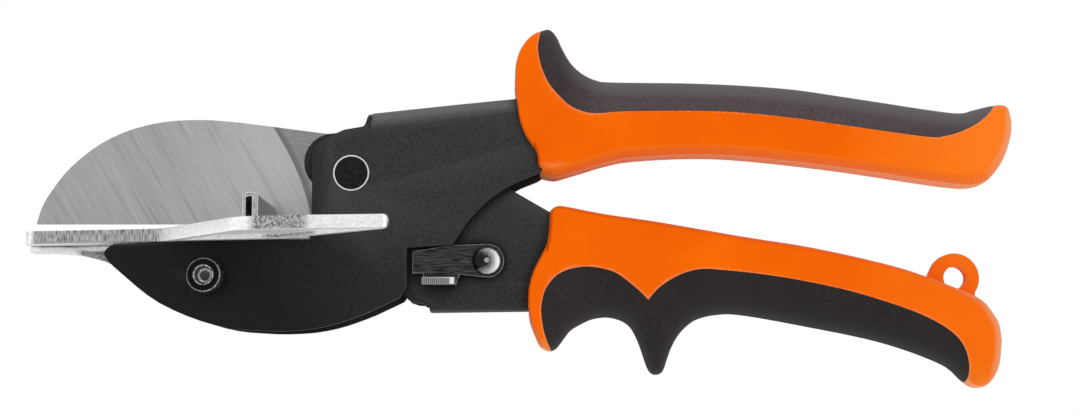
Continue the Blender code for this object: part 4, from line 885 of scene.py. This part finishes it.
def mark_seam(mesh, arms):
    """Store on each point how near it lies to the seam: one on it and zero past its width."""
    flat = np.empty(len(mesh.vertices) * 3)
    mesh.vertices.foreach_get("co", flat)
    points = flat.reshape(-1, 3)[:, :2] - PIVOT[:2]
    near = np.full(len(points), 1.0)
    for place in np.vstack(arms):
        near = np.minimum(near, np.hypot(points[:, 0] - place[0], points[:, 1] - place[1]))
    share = np.clip(1 - near / SEAM_LINE, 0, 1)
    mesh.attributes.new("seam", "FLOAT", "POINT").data.foreach_set("value", share)


def hanging_eye():
    """The eye on the lower grip's back: a flat lug with a round top, a flared foot and a hole."""
    rim = EYE_ROUND * circle(np.radians(np.linspace(158, -35, 40)))
    foot = np.array([[5.0, -7.5], [-7.0, -7.5], [-9.0, -1.2], [-7.4, -0.4], [-6.5, 0.7]])
    lug = prism_mesh("lug", EYE_PLACE + np.vstack([rim, foot]) * MM, -LUG_HALF, LUG_HALF)
    bm = bmesh.new()
    bm.from_mesh(lug)
    rims = [e for e in bm.edges if e.calc_face_angle(0) > math.radians(60)]
    bmesh.ops.bevel(bm, geom=rims, offset=LUG_EDGE, segments=3, affect="EDGES", profile=0.5)
    bm.to_mesh(lug)
    bm.free()
    hole = EYE_PLACE + circle(np.linspace(0, 2 * np.pi, 49)[:-1]) * EYE_HOLE * MM
    return cut(lug, prism_mesh("eye_hole", hole, -5 * MM, 5 * MM), "DIFFERENCE")


def two_part_grip(name, body_mesh, seam, far, side, body, pocket, eye=None):
    """Divide a grip at its seam: the shell loses the pad's region and the frame's pocket.

    The pad is a hair thinner and runs on a little under the shell, so no light shows through.
    """
    wide = GRIP_HALF + MARGIN
    outside = prism_mesh("pad_space", seam_region(seam, far, -side * SEAM_GAP), -wide, wide)
    shell = cut(body_mesh.copy(), outside, "DIFFERENCE")
    shell = cut(shell, pocket, "DIFFERENCE")
    if eye:
        shell = cut(shell, eye, "UNION")
    thinner = body_mesh.copy()
    points = np.array([v.co for v in thinner.vertices])
    points[:, 2] = PIVOT[2] + (points[:, 2] - PIVOT[2]) * (1 - PAD_RECESS)
    thinner.vertices.foreach_set("co", points.ravel())
    inside = prism_mesh("pad_region", seam_region(seam, far, -side * SEAM_LAP), -wide, wide)
    pad = cut(thinner, inside, "INTERSECT")
    mark_seam(shell, seam)
    for mesh, material, part in ((shell, ORANGE, "shell"), (pad, RUBBER, "pad")):
        made = piece(f"{name}_{part}_moulding", finished(mesh), material, f"grip_{part}", body,
                     f"{name}_{part}")
        made.visible_glossy = False


frame_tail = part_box("upper_frame")[1][0] - PIVOT[0]
upper_pocket = prism_mesh("upper_pocket", np.array([
    [30 * MM, -10 * MM], [39 * MM, -4.5 * MM], [46 * MM, -0.2 * MM], [52 * MM, 3.3 * MM],
    [58 * MM, 5.3 * MM], [66 * MM, 7.1 * MM], [frame_tail, 7.1 * MM], [frame_tail, 12.7 * MM],
    [60 * MM, 13.5 * MM], [53 * MM, 14.1 * MM], [48 * MM, 15.6 * MM], [44.3 * MM, 18.1 * MM],
    [40.9 * MM, 19.1 * MM], [30 * MM, 18 * MM]]), -FRAME_HALF - POCKET_ROOM,
                          FRAME_HALF + POCKET_ROOM)
lower_pocket = prism_mesh("lower_pocket", np.array([
    [38 * MM, -2.7 * MM], [41 * MM, -4.3 * MM], [49.1 * MM, -9.0 * MM], [52 * MM, -10.6 * MM],
    [60 * MM, -12.3 * MM], [108 * MM, -19.6 * MM], [108 * MM, -24.3 * MM], [60 * MM, -20.7 * MM],
    [53 * MM, -21.7 * MM], [48.9 * MM, -23.7 * MM], [46.4 * MM, -27.1 * MM],
    [46.4 * MM, -34.7 * MM], [38 * MM, -34.7 * MM]]), -CARRIER_HALF - POCKET_ROOM,
                          CARRIER_HALF + POCKET_ROOM)
two_part_grip("upper_grip", upper_body, [smooth(upper[2])], HORN_RISE + MARGIN, 1, "upper_handle",
              upper_pocket)
two_part_grip("lower_grip", lower_body, [smooth(lower[2]), smooth(lower_rear)],
              -TAIL_DROP - MARGIN, -1, "lower_handle", lower_pocket, hanging_eye())
print("grips divided at their seams")

# %% [markdown]
# ## Steel frames, table and small parts
# A hard piece keeps the frame's exact form. Its faces are joined again and every crisp edge is
# rounded, so that it catches the light as a pressed or cast edge does.

# %% Rounded copies of the hard pieces


def step(value, start, end):
    """Zero before one place, one past another, and even between them."""
    return np.clip((value - start) / (end - start), 0, 1)


def shifted(mesh, shift):
    """Move a mesh's points by amounts that vary from place to place, in mm from the pivot."""
    flat = np.empty(len(mesh.vertices) * 3)
    mesh.vertices.foreach_get("co", flat)
    place = (flat.reshape(-1, 3) - PIVOT) / MM
    place = place + np.stack(shift(*place.T), axis=1)
    mesh.vertices.foreach_set("co", (place * MM + PIVOT).ravel())


def upper_frame_shift(x, y, z):
    """The fold stands 0.6 mm higher, its front corner lies further left, and the jaw is deeper."""
    corner = step(x, 1.5, 3) * (1 - step(x, 8, 16)) * step(y, 10, 12.5)
    rise = 0.6 * step(x, 3.2, 5.2) * step(y, 12, 16) + 0.2 * corner
    rise -= 0.5 * step(x, -25, -10) * step(y, -24, -30)
    return -0.7 * corner, rise, 0 * z


def lower_frame_shift(x, y, z):
    """The front corner of the carrier's lower fold hangs lower and reaches further left."""
    drop = np.interp(x, [12, 15, 19, 20.5, 23], [1.7, 1.6, 0.9, 0.1, 0.0]) * step(y, -24, -28)
    left = -0.6 * step(x, 16, 18) * (1 - step(x, 20, 23)) * step(y, -24, -28)
    return left, -drop, 0 * z


def table_shift(x, y, z):
    """The nose is a little longer, and its flange is narrower and nearer the plate there."""
    flange = y < -16.2 + TABLE_SLOPE * x
    slim = step(x, -50, -66) * flange
    rise = np.interp(x, [-82, -76, -72, -62, -56, -50], [0.5, 0.8, 1.3, 1.2, 0.4, 0]) * flange
    rise -= 1.5 * step(x, -22, -14) * flange
    return -0.65 * step(x, -58, -72), rise + 0.2 * step(x, -40, -60) * ~flange, -0.6 * slim * z


def rounded(node_name, material, slot, body, radius, segments=3, edge=None, extra=None,
            within=None, without=None, shift=None):
    """The node's own form with its crisp edges rounded to a small real radius."""
    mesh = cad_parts[node_name].data.copy()
    mesh.materials.clear()
    for tool, operation in ((without, "DIFFERENCE"), (extra, "UNION"), (within, "INTERSECT")):
        if tool:
            mesh = cut(mesh, tool, operation)
    if shift:
        shifted(mesh, shift)
    bm = bmesh.new()
    bm.from_mesh(mesh)
    bmesh.ops.remove_doubles(bm, verts=bm.verts, dist=0.002 * MM)
    bmesh.ops.dissolve_limit(bm, angle_limit=math.radians(1.5), verts=bm.verts, edges=bm.edges)
    bm.to_mesh(mesh)
    bm.free()
    mesh.materials.clear()
    mesh.shade_smooth()
    made = piece(f"{node_name}_body", mesh, material, slot, body, node_name)
    bevel = made.modifiers.new("rounded edges", "BEVEL")
    bevel.width = radius
    bevel.segments = segments
    bevel.limit_method = "ANGLE"
    bevel.angle_limit = math.radians(28)
    bevel.harden_normals = True
    bevel.use_clamp_overlap = True
    if edge:
        mesh.materials.append(edge)
        bevel.material = 1
    return made


DEEP = 40 * MM
FRAME_EDGE = 0.25 * MM
latch_nose, latch_back = [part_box("latch_lever")[0][k] - PIVOT[k] for k in (0, 2)]
nose_block = prism_mesh("latch_nose", np.array([
    [latch_nose, -22.5 * MM], [latch_nose, -20.0 * MM], [latch_nose + 0.4 * MM, -19.6 * MM],
    [latch_nose + 2.2 * MM, -19.3 * MM], [latch_nose + 3.2 * MM, -19.2 * MM],
    [latch_nose + 3.2 * MM, -22.5 * MM]]), latch_back, latch_back + 1.8 * MM)
corner_line = np.array([[3.4, 11.0], [3.5, 11.7], [3.95, 12.1], [4.3, 12.8], [4.55, 13.6],
                        [4.95, 14.2], [5.3, 14.3], [5.3, 11.0]]) * MM
corner_fill = cut(
    prism_mesh("front_fill", corner_line, FRAME_HALF - 2.2 * MM, FRAME_HALF - 0.3 * MM),
    prism_mesh("back_fill", corner_line, 0.3 * MM - FRAME_HALF, 2.2 * MM - FRAME_HALF), "UNION")
corner_spike = prism_mesh("corner_spike", np.array([
    [2.5, 12.4], [4.7, 12.4], [4.7, 20.0], [2.5, 20.0]]) * MM, -DEEP, DEEP)
# The frames' bevels take the coat's painted edge highlight.
rounded("upper_frame", COAT, "coated_steel", "upper_handle", FRAME_EDGE, edge=EDGE_HIGHLIGHT,
        extra=corner_fill, without=corner_spike, shift=upper_frame_shift)
rounded("lower_frame", COAT, "coated_steel", "lower_handle", FRAME_EDGE, edge=EDGE_HIGHLIGHT,
        shift=lower_frame_shift)

EAR_ROUND = 1.5 * MM
TABLE_SHEET = 3.2 * MM
ear_tip, ear_top = [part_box("cutting_table")[1][k] - PIVOT[k] for k in (0, 1)]
turn = np.radians(np.linspace(90, 0, 7))
upper_round = [ear_tip - EAR_ROUND, ear_top - EAR_ROUND] + EAR_ROUND * circle(turn)
under_round = [ear_tip - EAR_ROUND, ear_top - TABLE_SHEET + EAR_ROUND]
under_round = under_round + EAR_ROUND * circle(-turn[::-1])
ear_limit = prism_mesh("ear_limit", np.vstack([
    [[ear_tip - 120 * MM, 20 * MM], [ear_tip - EAR_ROUND, 20 * MM]], upper_round, under_round,
    [[ear_tip - EAR_ROUND, -70 * MM], [ear_tip - 120 * MM, -70 * MM]]]), -DEEP, DEEP)
rounded("cutting_table", CASTING, "cast_aluminium", "upper_handle", 0.35 * MM, edge=CASTING_EDGE,
        within=ear_limit, shift=table_shift)
rounded("latch_lever", LATCH_STEEL, "latch_steel", "latch", 0.2 * MM, edge=LATCH_EDGE,
        extra=nose_block)
for name in ("blade_spacer_front", "blade_spacer_back"):
    rounded(name, BLACK_OXIDE, "black_steel", "lower_handle", 0.12 * MM, 2)
print("hard pieces rounded")

# %% [markdown]
# ## Turned pieces
# Pins, rivets, the screw and the nut are round, so each is a profile turned about its axis. A row
# of a profile can be part hexagon, which makes the nut's flats and the screw's socket.

# %% Turned pieces


def turned_mesh(name, centre, profile, sides=96):
    """A profile turned about an axis along Z. Each row is a radius, a depth and a share of
    hexagon: at zero the radius is a circle's, and at one it is half the width across flats."""
    rows = np.array([(*row, 0) if len(row) == 2 else row for row in profile], dtype=float)
    angle = np.linspace(0, 2 * np.pi, sides + 1)
    fold = (angle + np.pi / 6) % (np.pi / 3) - np.pi / 6
    shape = 1 - rows[:, 2:3] + rows[:, 2:3] / np.cos(fold)[None, :]
    radius = rows[:, 0:1] * shape * MM
    x = centre[0] + radius * np.cos(angle)[None, :]
    y = centre[1] + radius * np.sin(angle)[None, :]
    z = np.repeat(rows[:, 1:2] * MM, sides + 1, axis=1)
    return finished(grid_mesh(name, [from_pivot(np.stack([x, y, z], axis=-1))]), 24)


def ends(name):
    """Where a node starts and ends along Z, in millimetres from the pivot."""
    low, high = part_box(name)
    return (low[2] - PIVOT[2]) / MM, (high[2] - PIVOT[2]) / MM


def turned(name, centre, profile, material, slot, body):
    """A turned piece that stands for the node of that name."""
    mesh = turned_mesh(f"{name}_turned", centre, profile)
    piece(f"{name}_turned", mesh, material, slot, body, name)


back, face = ends("pivot_pin")
turned("pivot_pin", (0, 0), [
    (0, back), (4.6, back), (5.6, back + 0.35), (6.2, back + 0.9), (6.4, back + 1.3),
    (6.4, back + 1.8), (4.05, back + 1.8), (4.05, face - 0.35), (3.97, face - 0.12),
    (3.8, face), (0.45, face), (0.3, face - 0.15), (0, face - 0.2)],
       BLACK_OXIDE, "black_steel", "upper_handle")
low, high = ends("pivot_sleeve")
turned("pivot_sleeve", (0, 0), [
    (4.12, low), (4.5, low), (4.55, low + 0.1), (4.55, high - 0.08), (4.5, high - 0.02),
    (4.45, high), (4.2, high), (4.15, high - 0.03), (4.12, high - 0.1), (4.12, low)],
       BRIGHT, "bright_steel", "upper_handle")
tail, crown = ends("table_screw")
seat = crown - 5.0
turned("table_screw", SCREW_AXIS, [
    (0, tail), (2.1, tail), (2.5, tail + 0.4), (2.5, seat), (4.15, seat), (4.25, seat + 0.1),
    (4.25, crown - 0.5), (4.2, crown - 0.3), (4.05, crown - 0.12), (3.8, crown), (2.4, crown),
    (2.25, crown, 0.8), (2.0, crown - 0.22, 1), (2.0, crown - 2.6, 1), (0.5, crown - 2.9, 0.5),
    (0, crown - 3.1)], SCREW_STEEL, "black_steel", "upper_handle")
low, high = ends("table_nut")
turned("table_nut", middle("table_nut"), [
    (2.6, high), (3.9, high, 1), (4.0, high - 0.1, 1), (4.0, low + 0.5, 1), (3.9, low + 0.1, 0.6),
    (3.6, low), (2.9, low), (2.6, low + 0.3), (2.6, high)],
       BRIGHT, "bright_steel", "upper_handle")
low, high = ends("latch_rivet")
lifts = np.radians(np.arange(0, 76, 7.5))
dome = [(3.5 * math.cos(a), high - 1.9 + 1.9 * math.sin(a)) for a in lifts]
turned("latch_rivet", RIVET_AXIS, [
    (0, low), (2.6, low), (2.9, low + 0.3), (2.9, low + 1.0), (2.0, low + 1.0),
    (2.0, high - 2.05), (3.4, high - 2.05)] + dome + [
    (0.7, high), (0.5, high - 0.05), (0.3, high - 0.2), (0, high - 0.25)],
       RIVET_STEEL, "bright_steel", "lower_handle")
low, high = ends("blade_rivet")
turned("blade_rivet", middle("blade_rivet"), [
    (0, low), (1.9, low), (2.1, low + 0.2), (2.1, high - 0.2), (1.9, high), (0, high)],
       BRIGHT, "bright_steel", "lower_handle")
print("pin, sleeve, screw, nut and rivets turned")

# %% [markdown]
# ## Blade
# The blade is ground from its back down to its edge, and full sheet behind the border of the
# grinding. Its half thickness comes from one formula over a grid, so the long taper is even.

# %% Blade
blade_back = np.array([
    (-1.000, -0.960), (-0.984, -0.625), (-0.953, -0.267), (-0.900, 0.151), (-0.821, 0.518),
    (-0.741, 0.758),
    (-0.660, 0.904), (-0.580, 0.979), (-0.490, 1.000), (-0.414, 0.979), (-0.312, 0.918),
    (-0.091, 0.760), (0.000, 0.719), (0.400, 0.590), (0.850, 0.300), (1.000, -0.150)])
blade_belly = np.array([(-0.110, -0.920), (0.000, -0.870), (0.400, -0.880), (0.870, -0.600)])
EDGE_HALF = 0.2 * MM
HEEL = 12.5 * MM


def blade_points(shares):
    """Shares of the blade's own reach, rise and drop on each side of the pivot, in metres."""
    x = shares[:, 0] * np.where(shares[:, 0] > 0, TANG_REACH, BLADE_REACH)
    return np.stack([x, shares[:, 1] * np.where(shares[:, 1] > 0, BLADE_RISE, EDGE_DROP)], axis=1)


def blade_mesh():
    """Half-moon blade: its half thickness grows evenly from the edge to the back, and steps up
    over 3 mm to the full sheet at the line where the grinding ends."""
    top = smooth(blade_points(blade_back), 16)
    belly = smooth(np.vstack([blade_points(blade_belly), top[-1:]]), 16)
    bottom = np.vstack([[[top[0, 0], -EDGE_DROP], [-HEEL, -EDGE_DROP]], belly])
    t = np.linspace(0, 1, 420)
    xs = top[0, 0] + (top[-1, 0] - top[0, 0]) * (0.45 * (1 - np.cos(np.pi * t)) / 2 + 0.55 * t)
    share = np.linspace(0, 1, 40)
    tops, bottoms = height_at(top, xs), height_at(bottom, xs)
    y = bottoms[:, None] + (tops - bottoms)[:, None] * share
    x = np.repeat(xs[:, None], len(share), axis=1)
    rise = np.clip((y + EDGE_DROP) / (EDGE_DROP + BLADE_RISE), 0, 1)
    ground = EDGE_HALF + (BLADE_HALF - EDGE_HALF) * rise
    border = np.interp(y / MM, [-12.0, 0.15, 12.8], [-10.45, -14.0, -20.8]) * MM
    past = np.clip((x - border) / (3 * MM), 0, 1)
    z = ground + (BLADE_HALF - ground) * past
    front = np.stack([x, y, z], axis=-1)
    back_side = np.stack([x, y, -z], axis=-1)
    walls = [np.stack([front[:, k], back_side[:, k]], axis=1) for k in (0, -1)]
    walls += [np.stack([front[k], back_side[k]], axis=1) for k in (0, -1)]
    mesh = finished(grid_mesh("blade_ground", [from_pivot(g) for g in [front, back_side] + walls]), 20)
    for centre, radius in (((0, 0), 4.65 * MM), (middle("blade_rivet"), 2.2 * MM)):
        turn = np.linspace(0, 2 * np.pi, 65)[:-1]
        hole = np.array(centre) + circle(turn) * radius
        mesh = cut(mesh, prism_mesh("blade_hole", hole, -5 * MM, 5 * MM), "DIFFERENCE")
    return finished(mesh, 20)


piece("blade_ground", blade_mesh(), BLADE_STEEL, "blade_steel", "lower_handle", "blade")
print("blade ground")

# %% [markdown]
# ## Fences
# A fence is a strip folded over on itself, so its end shows two leaves with a slit between them.
# That section is drawn once and extruded, and a bevel gives its edges their bright line.

# %% Fences
FENCE_FLARE = 0.8


def fence_mesh(name, low, high):
    """One strip folded over on itself: two upright leaves, unlike in width, with a slit between them,
    under a rounded fold. The real strip leans a little, so it looks wider at its inner end; here the
    whole section is widened to the left instead."""
    box_low, box_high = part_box(name.replace("_folded", ""))
    left, right = [(v - PIVOT[0]) / MM for v in (box_low[0], box_high[0])]
    left -= FENCE_FLARE
    base, top = [(v - PIVOT[1]) / MM for v in (box_low[1], box_high[1])]
    wide = right - left
    angle = np.radians(np.linspace(180, 0, 17))
    outer = np.stack([left + wide / 2 * (1 + np.cos(angle)), top - 1.1 + 1.1 * np.sin(angle)], axis=1)
    slit = np.array([[right - 1.5, base], [right - 1.5, top - 1.2], [right - 1.7, top - 0.95],
                     [right - 2.0, top - 0.95], [left + 0.8, top - 1.2], [left + 0.8, base]])
    section = np.vstack([[[left, base]], outer, [[right, base]], slit]) * MM
    return prism_mesh(name, section, low, high)


for name in ("fence_front", "fence_back"):
    low, high = [v * MM for v in ends(name)]
    made = piece(f"{name}_folded", fence_mesh(f"{name}_folded", low, high), FENCE_STEEL,
                 "bright_steel", "upper_handle", name)
    made.data.materials.append(BRIGHT)
    bevel = made.modifiers.new("rounded edges", "BEVEL")
    bevel.width = 0.14 * MM
    bevel.segments = 2
    bevel.limit_method = "ANGLE"
    bevel.material = 1
print("fences folded")

# %% [markdown]
# ## Opening spring
# A wound wire pushes the handles apart. It is a circle swept along a helix.

# %% Opening spring


def spring_mesh():
    """A round wire wound into an open coil: a circle swept along a helix with closed ends."""
    low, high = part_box("opening_spring")
    axis_x = (low[0] + high[0]) / 2
    wire = 0.55 * MM
    radius = (high[0] - low[0]) / 2 - wire
    turns = np.linspace(0, 11, 11 * 40 + 1)
    rise = np.interp(turns, [0, 0.75, 10.25, 11], [0, 0.08, 0.92, 1])
    height = low[1] + wire + (high[1] - low[1] - 2 * wire) * rise
    angle = 2 * np.pi * turns
    line = np.stack([axis_x + radius * np.cos(angle), height, PIVOT[2] + radius * np.sin(angle)], axis=1)
    along = np.gradient(line, axis=0)
    along = along / np.linalg.norm(along, axis=1)[:, None]
    outward = np.stack([np.cos(angle), np.zeros_like(angle), np.sin(angle)], axis=1)
    beside = np.cross(along, outward)
    round_angle = np.linspace(0, 2 * np.pi, 17)[None, :, None]
    size = np.ones((len(turns), 1, 1)) * wire
    size[[0, -1]] = 0
    ring = outward[:, None] * np.cos(round_angle) + beside[:, None] * np.sin(round_angle)
    tube = line[:, None] + size * ring
    return finished(grid_mesh("opening_spring_wound", [tube])), low, high


mesh, low, high = spring_mesh()
spring = added("opening_spring_wound", mesh)
mesh.materials.append(BRIGHT)
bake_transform(spring)
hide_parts("opening_spring")
print("spring wound:", len(mesh.polygons), "faces")

# %% [markdown]
# ## Camera
# The camera looks steeply down, as in a catalogue picture. Its place and its lens were fitted to
# the outlines in the photo.

# %% Camera
ELEVATION = 83.2
FOCAL_SHARE = 1768 / 1080
CAMERA_FROM_PIVOT = np.array([47.14, -60.96, 445.86]) * MM
camera_data = bpy.data.cameras.new("camera")
camera_data.sensor_width = 36
camera_data.lens = FOCAL_SHARE * camera_data.sensor_width
camera = added("camera", camera_data)
camera.location = PIVOT + CAMERA_FROM_PIVOT
camera.rotation_euler = (math.radians(90 - ELEVATION), 0, 0)
bpy.context.scene.camera = camera
print("camera at", tuple(round(v, 3) for v in camera.location))

# %% [markdown]
# ## Light
# Catalogue pictures have soft light from all round. A white world gives it, and two weak panels
# lend it a direction. Metal mirrors the world, so its reflections see a greyer ceiling.

# %% Lights


def panel(name, place, size, power, target=(0, 0, 0.03)):
    """A soft rectangular light that faces a point."""
    data = bpy.data.lights.new(name, "AREA")
    data.shape = "RECTANGLE"
    data.size, data.size_y = size
    data.energy = power
    made = added(name, data)
    made.location = place
    made.rotation_euler = (Vector(target) - Vector(place)).to_track_quat("-Z", "Y").to_euler()
    made.visible_glossy = False


panel("key", (-0.25, 0.45, 0.75), (0.7, 0.4), 1.7)
panel("fill", (0.2, -0.6, 0.5), (0.9, 0.3), 0.7)


def studio_world():
    """White paper all round for plain light. Reflections see a grey ceiling and bright walls."""
    world = bpy.data.worlds.new("studio")
    bpy.context.scene.world = world
    world.use_nodes = True
    tree = world.node_tree
    path = node(tree, "LightPath")
    way = node(tree, "SeparateXYZ", {0: node(tree, "TexCoord").outputs["Generated"]}).outputs
    ceiling = ramp(tree, way["Z"], 1.1, 0.88, 0.62, 0.98)
    ceiling = product(tree, ceiling, ramp(tree, way["X"], 1, 1.3, 0.4, 0.9))
    plain = product(tree, path.outputs["Is Diffuse Ray"], 0.8)
    shiny = product(tree, path.outputs["Is Glossy Ray"], ceiling)
    seen = calc(tree, "ADD", calc(tree, "ADD", plain, shiny), path.outputs["Is Camera Ray"])
    tree.links.new(seen, tree.nodes["Background"].inputs["Strength"])
    tree.nodes["Background"].inputs["Color"].default_value = (1, 1, 1, 1)


studio_world()
print("studio lit")

# %% [markdown]
# ## Floor
# The photo's paper is pure white. The camera sees a plain white glow there, while every other
# ray meets a matt surface, so light still bounces up from it.

# %% Floor
FLOOR_SIZE = 1.5


def white_floor():
    """A white table top that the camera sees as clean paper and the light bounces from."""
    material, tree, shader = principled("white_table", Base_Color=(0.8, 0.8, 0.8, 1),
                                        Roughness=0.9)
    path = node(tree, "LightPath")
    glow = node(tree, "Emission", {"Color": (1, 1, 1, 1), "Strength": 1.0})
    mix = node(tree, "MixShader", {"Fac": path.outputs["Is Camera Ray"]})
    tree.links.new(shader.outputs[0], mix.inputs[1])
    tree.links.new(glow.outputs[0], mix.inputs[2])
    tree.links.new(mix.outputs[0], tree.nodes["Material Output"].inputs["Surface"])
    return material


half = FLOOR_SIZE / 2
floor_grid = np.array([[[-half, -half, 0], [half, -half, 0]], [[-half, half, 0], [half, half, 0]]])
floor = added("floor", grid_mesh("floor", [floor_grid]))
floor.data.materials.append(white_floor())
bpy.context.scene.view_settings.view_transform = "Standard"
print("floor laid,", FLOOR_SIZE, "m wide")
